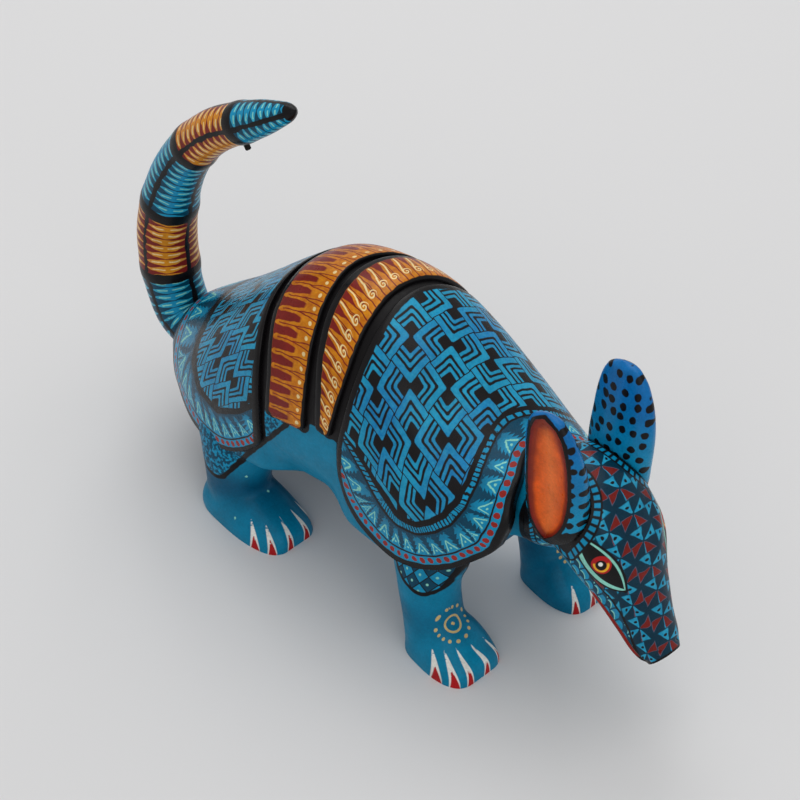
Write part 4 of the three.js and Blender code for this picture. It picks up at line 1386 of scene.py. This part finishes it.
def build_head():
    obj = loft("head_block", head_surface, HEAD_AROUND, HEAD_RINGS)
    slice_plane(obj, [SEAM_X + CLEARANCE / 2, 0, 0], (1, 0, 0))
    tools = []
    for side in (-1, 1):
        seat, axis = ear_frame(side)
        leaves = [ear_leaf(side, CLEARANCE, axis * step * EAR_PULL / 4).build("room", 60, 50)
                  for step in range(5)]
        room = join(leaves)
        remesh(room, 0.5, 2)
        slice_plane(room, seat - axis * CLEARANCE / 2, axis)
        tools.append((room, SOCKET))
        tools.append((bar("peg_bore", seat - axis * (EAR_PEG_IN_HEAD + CLEARANCE),
                          seat + axis, EAR_PEG_RADIUS + CLEARANCE), WOOD))
    tools.append((bar("dowel_bore", NECK - FORWARD, NECK + FORWARD * (
        NECK_DOWEL_LENGTH / 2 + CLEARANCE), NECK_DOWEL_RADIUS + CLEARANCE), WOOD))
    cut(obj, tools)
    points = rest_points(obj)
    place, degrees, radius, length = head_coordinates(points)
    store(obj, "rest", points)
    store(obj, "place", place)
    store(obj, "s", length)
    store(obj, "t", np.radians(degrees) * np.minimum(radius, 14))
    side = np.abs(degrees)
    store(obj, "lip", np.radians(side - LIP_DEGREES) * radius)
    start = Table([[0.1, 60], [0.3, 72], [0.45, 84], [0.6, 84], [0.7, 76], [0.8, 80], [0.9, 92],
                   [1.0, 100]])(place)[:, 0]
    store(obj, "cheek_in", np.radians(side - start) * radius)
    store(obj, "cheek_u", length)
    store(obj, "cheek_v", -np.radians(side) * radius + 40)
    eye = on_right_side(points) - EYE
    far = np.linalg.norm(eye, axis=1) > 18
    store(obj, "eye_u", np.where(far, 40, eye @ EYE_LONG))
    store(obj, "eye_v", np.where(far, 40, eye @ EYE_SHORT))
    gap, turn = np.full(len(points), 99.0), np.zeros(len(points))
    for side in (-1, 1):
        seat, axis = ear_frame(side)
        distance, _ = nearest(points, ear_leaf(side).skin(90)[0])
        away = points - seat
        across = np.cross(axis, FORWARD)
        angle = np.arctan2(away @ across, away @ FORWARD) / (2 * math.pi)
        turn = np.where(distance < gap, angle, turn)
        gap = np.minimum(gap, distance)
    store(obj, "ear_gap", gap)
    store(obj, "ear_turn", turn)
    store(obj, "neck", points[:, 0] - SEAM_X)
    dress(obj, head_paint(), "figure", "painted_head", "head")


build_head()


SKIN_SAMPLES = 160
BLACK_RIM = 0.95  # mm of black round the ear's hollow


def build_ear(side, body, node, looks):
    seat, axis = ear_frame(side)
    leaf = ear_leaf(side)
    obj = leaf.build(node + "_leaf", 120, 110)
    slice_plane(obj, seat + axis * CLEARANCE / 2, axis)
    hollow_leaf = ear_hollow(side)
    hollow = hollow_leaf.build("hollow", 120, 110)
    cut(obj, [(hollow, looks[1])])
    points = rest_points(obj)
    store(obj, "rest", points)
    store(obj, "ear_height", (points - seat) @ axis * 0.35 + (points[:, 2] - seat[2]) * 0.65
          + 3.0)
    store(obj, "ear_flat", np.stack([points[:, 0] + 0.35 * points[:, 1], points[:, 2],
                                     0 * points[:, 2]], -1))
    # depth under the outer face, found on the leaf at the same height and width
    skin, place = leaf.skin(SKIN_SAMPLES)
    outer = skin[(skin[:, 1] - leaf.table(place)[:, 1]) * side > 0]
    flat = [1, 0, 1]
    _, k = nearest(points * flat, outer * flat)
    depth = (outer[k, 1] - points[:, 1]) * side
    store(obj, "depth", depth)
    axis_path = leaf.table(np.linspace(0, 1, 200))
    _, j = nearest(points * flat, axis_path[:, :3] * flat)
    store(obj, "middle", np.abs(points[:, 0] - axis_path[j, 0]) / np.maximum(
        axis_path[j, 3] - 2 * EAR_LIP, 1))
    near_hole, _ = nearest(points, hollow_leaf.skin(SKIN_SAMPLES)[0])
    outward = (points[:, 1] - axis_path[j, 1]) * side
    store(obj, "rim", np.minimum(BLACK_RIM - near_hole, outward))
    dress(obj, looks[0], body, "painted_ear", node)
    dowel(node + "_dowel", seat, axis, EAR_PEG_IN_HEAD, EAR_PEG_IN_EAR, EAR_PEG_RADIUS,
          body, node + "_peg", 0.5)


ear_looks = list(ear_paint())
build_ear(-1, "ear_right", "ear_right", ear_looks)
build_ear(1, "ear_left", "ear_left", ear_looks)

# ---- Trunk and legs --------------------------------------------------------------------------
FRONT_ANKLE, REAR_ANKLE = float(along(0.825)), float(along(0.335))
FRONT_STRIDE = 3.0  # the left front leg stands this much further forward


def leg(front, side):
    stride = FRONT_STRIDE if front and side > 0 else 0.0
    x = (FRONT_ANKLE if front else REAR_ANKLE) + stride
    y, r, w = side * LEG_SPREAD, ANKLE_RADIUS, FOOT_HALF_WIDTH
    hip = float(trunk_section(0.825 if front else 0.335)[2])
    if front:
        shank = [[0, x - 2, y * 0.72, hip + 4, r * 1.2, r * 0.8],
                 [0.25, x - 3, y * 0.88, hip * 0.75, r * 1.45, r * 1.05],
                 [0.55, x - 2, y * 0.98, hip * 0.5, r * 1.08, r * 1.02],
                 [0.78, x, y, hip * 0.28, r, r], [1, x + 2, y, 3, r * 1.05, r * 1.05]]
        heel, length = x - 0.18 * FRONT_FOOT_LENGTH, FRONT_FOOT_LENGTH
    else:
        shank = [[0, x - 4, y * 0.7, hip + 6, r * 1.7, r * 0.8],
                 [0.25, x - 5, y * 0.86, hip * 0.78, r * 1.9, r * 1.1],
                 [0.55, x - 4, y * 0.98, hip * 0.52, r * 1.45, r * 1.12],
                 [0.78, x - 4, y, hip * 0.3, r * 1.2, r * 1.05],
                 [1, x - 3, y, 3, r * 1.2, r * 1.05]]
        heel, length = x - 0.4 * REAR_FOOT_LENGTH, REAR_FOOT_LENGTH
    foot = [[0, heel, y, 5, w * 0.5, 5], [0.12, heel + 0.06 * length, y, 4.5, w * 0.75, 8],
            [0.4, heel + 0.35 * length, y, 2, w * 0.95, 13],
            [0.7, heel + 0.72 * length, y, 0, w, 9.5],
            [0.9, heel + 0.94 * length, y, 0, w * 0.8, 6], [1, heel + length, y, 0, w * 0.55, 4]]
    return [Limb(shank, (1, 0, 0)).build("shank", 60, 60),
            Limb(foot, (0, 1, 0), 2.3).build("foot", 70, 70)]


def block_surface(t, turn):
    share = np.minimum(rounded_end(t) * 1.03, 1)
    section = block_section(share)
    closed = (t <= 0) | (t >= 1)
    section[closed, 1] = 0
    section[closed, 0] = section[closed, 2]
    section[closed, 3] = section[closed, 2]
    return on_section(section, along(rounded_end(t) * 1.03), turn, PLATE_STEP)


# Each claw of a right foot, from its thin end to its root at the floor.
FRONT_CLAWS = [
    ((59.3, -31.0, 9.1), (62.9, -33.0, 0.5)), ((62.6, -29.6, 9.7), (68.3, -31.2, 0.5)),
    ((64.3, -26.6, 10.1), (71.3, -27.3, 0.5)), ((65.6, -22.3, 9.3), (72.2, -20.5, 0.5)),
    ((65.7, -17.1, 8.1), (70.4, -14.6, 0.5)),
]
REAR_CLAWS = [
    ((-16.4, -30.4, 8.4), (-12.6, -32.8, 0.5)), ((-12.4, -28.4, 8.2), (-7.4, -30.6, 0.5)),
    ((-11.6, -23.6, 8.4), (-4.8, -25.2, 0.5)), ((-11.6, -18.9, 8.2), (-5.4, -18.6, 0.5)),
    ((-13.2, -14.8, 8.0), (-8.2, -13.4, 0.5)),
]
CLAW_REACH = 5.0  # mm from a claw's line beyond which that claw isn't painted
SUN_PLACE = (60.0, -23.5, 14.2)
SPECKS = [(-21.7, -32.1, 6.4), (-20.5, -28.0, 21.4), (-18.8, -21.3, 12.0), (-40.0, -24.0, 14.0)]
FRONT_CUFF = Table([[38, 38], [44, 29.7], [49, 26.2], [53, 25.0], [56, 25.6], [58.4, 27.8],
                    [60.6, 33.0], [63, 40]])
REAR_CUFF = Table([[-52, 30], [-46, 23], [-38, 18.6], [-30.7, 17.3], [-26.6, 18.9],
                   [-20.6, 27.4], [-12, 39], [-3.4, 50], [4, 60]])


def on_both_sides(rows, stride):
    """Right-foot places, and the same mirrored on the left foot, a stride further forward."""
    rows = np.array(rows, float)
    return np.concatenate([rows, rows * [1, -1, 1] + [stride, 0, 0]])


def build_body():
    pieces = [loft("trunk_block", block_surface, 220, 220)]
    for front in (True, False):
        for side in (-1, 1):
            pieces += leg(front, side)
    obj = join(pieces)
    obj.name = "trunk_and_legs"
    remesh(obj, 0.8, 8)
    slice_plane(obj, [0, 0, 0], (0, 0, 1))
    slice_plane(obj, [SEAM_X - CLEARANCE / 2, 0, 0], (-1, 0, 0))
    cut(obj, [
        (bar("socket", TAIL_SEAT - TAIL_AXIS * CLEARANCE / 2,
             TAIL_SEAT + TAIL_AXIS * 3 * TAIL_BASE_RADIUS, TAIL_BASE_RADIUS + CLEARANCE, 96),
         SOCKET),
        (bar("peg_bore", TAIL_SEAT - TAIL_AXIS * (TAIL_PEG_LENGTH - TAIL_PEG_IN_TAIL + CLEARANCE),
             TAIL_SEAT + TAIL_AXIS, TAIL_PEG_RADIUS + CLEARANCE), WOOD),
        (bar("dowel_bore", NECK - FORWARD * (NECK_DOWEL_LENGTH / 2 + CLEARANCE), NECK + FORWARD,
             NECK_DOWEL_RADIUS + CLEARANCE), WOOD),
    ])
    points = rest_points(obj)
    x, y, z = points.T
    store(obj, "rest", points)
    # Painted shade: darker low on the rear legs near the ankles, less on the front legs, and
    # under the belly near its middle.
    store(obj, "shade", np.clip(
        0.75 * np.exp(-((z - 15) / 7) ** 2) * (x < 0) + 0.35 * np.exp(-((z - 16) / 6) ** 2)
        * (x > 0) + 0.5 * smoothstep(20 - np.abs(y), 0, 10) * (z < 45), 0, 1))
    side_of = np.abs(y)
    for name, table, low, high, reach in (
            ("cuff", FRONT_CUFF, 41.5, 63.5, 17.0), ("rear_cuff", REAR_CUFF, -50.0, 2.0, 13.0)):
        shifted = x - np.where((y > 0) & (name == "cuff"), FRONT_STRIDE, 0)
        line = table(shifted)[:, 0]
        slope = (table(shifted + 0.2)[:, 0] - table(shifted - 0.2)[:, 0]) / 0.4
        value = (z - line) / np.sqrt(1 + slope ** 2)
        value = np.minimum.reduce([value, shifted - low, high - shifted, side_of - reach])
        store(obj, name, np.where(z < 60, value, -5))
    store(obj, "cuff_x", x)
    store(obj, "cuff_z", z)
    claw, claw_side = np.full(len(points), -5.0), np.full(len(points), 9.0)
    claws = np.concatenate([on_both_sides(FRONT_CLAWS, FRONT_STRIDE),
                            on_both_sides(REAR_CLAWS, 0.0)])
    for tip, root in claws:
        reach = root - tip
        length = np.linalg.norm(reach)
        place = (points - tip) @ reach / length ** 2
        near = np.linalg.norm(points - tip - np.clip(place, 0, 1)[:, None] * reach, axis=1)
        level = unit([-reach[1], reach[0], 0])
        off = np.where(near < CLAW_REACH, np.abs((points - tip) @ level), 9.0)
        closer = off < claw_side
        claw = np.where(closer, place, claw)
        claw_side = np.minimum(claw_side, off)
    store(obj, "claw", claw)
    store(obj, "claw_side", claw_side)
    sun, sun_turn = np.full(len(points), 99.0), np.zeros(len(points))
    for centre in on_both_sides([SUN_PLACE], FRONT_STRIDE):
        centre = points[np.argmin(np.linalg.norm(points - centre, axis=1))]
        away = np.linalg.norm(points - centre, axis=1)
        turn = np.arctan2(y - centre[1], (x - centre[0]) * 1.3 - (z - centre[2]) * 0.5)
        sun_turn = np.where(away < sun, turn / (2 * math.pi) + 0.5, sun_turn)
        sun = np.minimum(sun, away)
    store(obj, "sun", sun)
    store(obj, "sun_turn", sun_turn)
    store(obj, "speck", nearest(points, on_both_sides(SPECKS, 0.0))[0])
    store(obj, "black", black_zone(points))
    dress(obj, body_paint(), "figure", "painted_body", "body")


BLACK_DEGREES = 80  # how far down from the crown the ground between the bands is black
PLATE_RIM, COLLAR, SOCKET_RIM = 1.3, 1.8, 1.6  # mm of black round plates, neck and tail


def black_zone(points):
    """How far inside the black ground a point lies: round the plates and between the bands."""
    share = (points[:, 0] + SHELL_LENGTH / 2) / SHELL_LENGTH
    crown, half, widest, belly = np.moveaxis(trunk_section(share), -1, 0)
    rise = points[:, 2] - widest
    height = np.where(rise > 0, crown - widest, widest - belly)
    cosine = power(np.clip(rise / height, -1, 1), TRUNK_SQUARENESS / 2)
    sine = np.clip(np.abs(points[:, 1]) / np.maximum(half, 1), 0, 1) ** (TRUNK_SQUARENESS / 2)
    degrees = np.degrees(np.arctan2(sine, cosine))
    low = plates["shield_rear"].edges(degrees)[1] - 0.01
    high = plates["shield_front"].edges(degrees)[0] + 0.01
    between = np.minimum.reduce([(share - low) * SHELL_LENGTH, (high - share) * SHELL_LENGTH,
                                 (BLACK_DEGREES - degrees) * MM_PER_DEGREE])
    rims = []
    for plate in plates.values():
        for edge in (0, 1):
            rims.append(plate.path(edge, -plate.end, plate.end, PLATE_STEP, 500))
    near_rim = PLATE_RIM - nearest(points, np.vstack(rims))[0]
    collar = points[:, 0] - (SEAM_X - COLLAR)
    away = points - TAIL_SEAT
    beside = away - (away @ TAIL_AXIS)[:, None] * TAIL_AXIS
    socket = np.minimum(TAIL_BASE_RADIUS + SOCKET_RIM - np.linalg.norm(beside, axis=1),
                        away @ TAIL_AXIS + 4)
    return np.maximum.reduce([between, near_rim, collar, socket])


build_body()


# ---- Floor, light and camera -----------------------------------------------------------------
def add_floor():
    size, thick = 3.0, 0.02
    bm = bmesh.new()
    corners = [(-size, -size), (size, -size), (size, size), (-size, size)]
    top = [bm.verts.new((x, y, 0)) for x, y in corners]
    low = [bm.verts.new((x, y, -thick)) for x, y in corners]
    bm.faces.new(top)
    bm.faces.new(low[::-1])
    for i in range(4):
        k = (i + 1) % 4
        bm.faces.new((top[k], top[i], low[i], low[k]))
    mesh = bpy.data.meshes.new("floor")
    bm.to_mesh(mesh)
    bm.free()
    floor = link_object("floor", mesh)
    look = bpy.data.materials.new("pale_floor")
    look.use_nodes = True
    shader = look.node_tree.nodes["Principled BSDF"]
    shader.inputs["Base Color"].default_value = (0.72, 0.72, 0.73, 1)
    shader.inputs["Roughness"].default_value = 0.75
    shader.inputs["Specular IOR Level"].default_value = 0.2
    mesh.materials.append(look)


def add_light(name, place, aim, size, power_w):
    data = bpy.data.lights.new(name, "AREA")
    data.shape = "RECTANGLE"
    data.size, data.size_y = size
    data.energy = power_w
    light = link_object(name, data)
    light.location = place
    light.rotation_euler = (Vector(aim) - Vector(place)).to_track_quat("-Z", "Y").to_euler()


CAMERA_AZIMUTH, CAMERA_ELEVATION = math.radians(45), math.radians(41)
CAMERA_DISTANCE = 0.9
CAMERA_AIM = Vector((-0.0115, 0.0131, 0.040))
LENS = 137.7


def add_camera():
    back = Vector((math.sin(CAMERA_AZIMUTH) * math.cos(CAMERA_ELEVATION),
                   -math.cos(CAMERA_AZIMUTH) * math.cos(CAMERA_ELEVATION),
                   math.sin(CAMERA_ELEVATION)))
    data = bpy.data.cameras.new("camera")
    data.lens, data.sensor_width = LENS, 36.0
    data.clip_start, data.clip_end = 0.01, 20.0
    camera = link_object("camera", data)
    camera.location = CAMERA_AIM + back * CAMERA_DISTANCE
    camera.rotation_euler = back.to_track_quat("Z", "Y").to_euler()
    bpy.context.scene.camera = camera


add_floor()
add_light("key", (-0.55, 0.45, 0.95), (0, 0, 0.03), (0.7, 0.7), 3.3)
add_light("fill", (0.7, -0.6, 0.7), (0, 0, 0.03), (0.9, 0.7), 1.6)
add_light("top", (0.1, 0.1, 1.3), (0, 0, 0), (1.0, 1.0), 3.6)
world = bpy.data.worlds.new("studio")
world.use_nodes = True
background = world.node_tree.nodes["Background"].inputs
background["Color"].default_value = (1.0, 0.995, 0.98, 1)
background["Strength"].default_value = 0.55
bpy.context.scene.world = world
bpy.context.scene.view_settings.view_transform = "Standard"
add_camera()
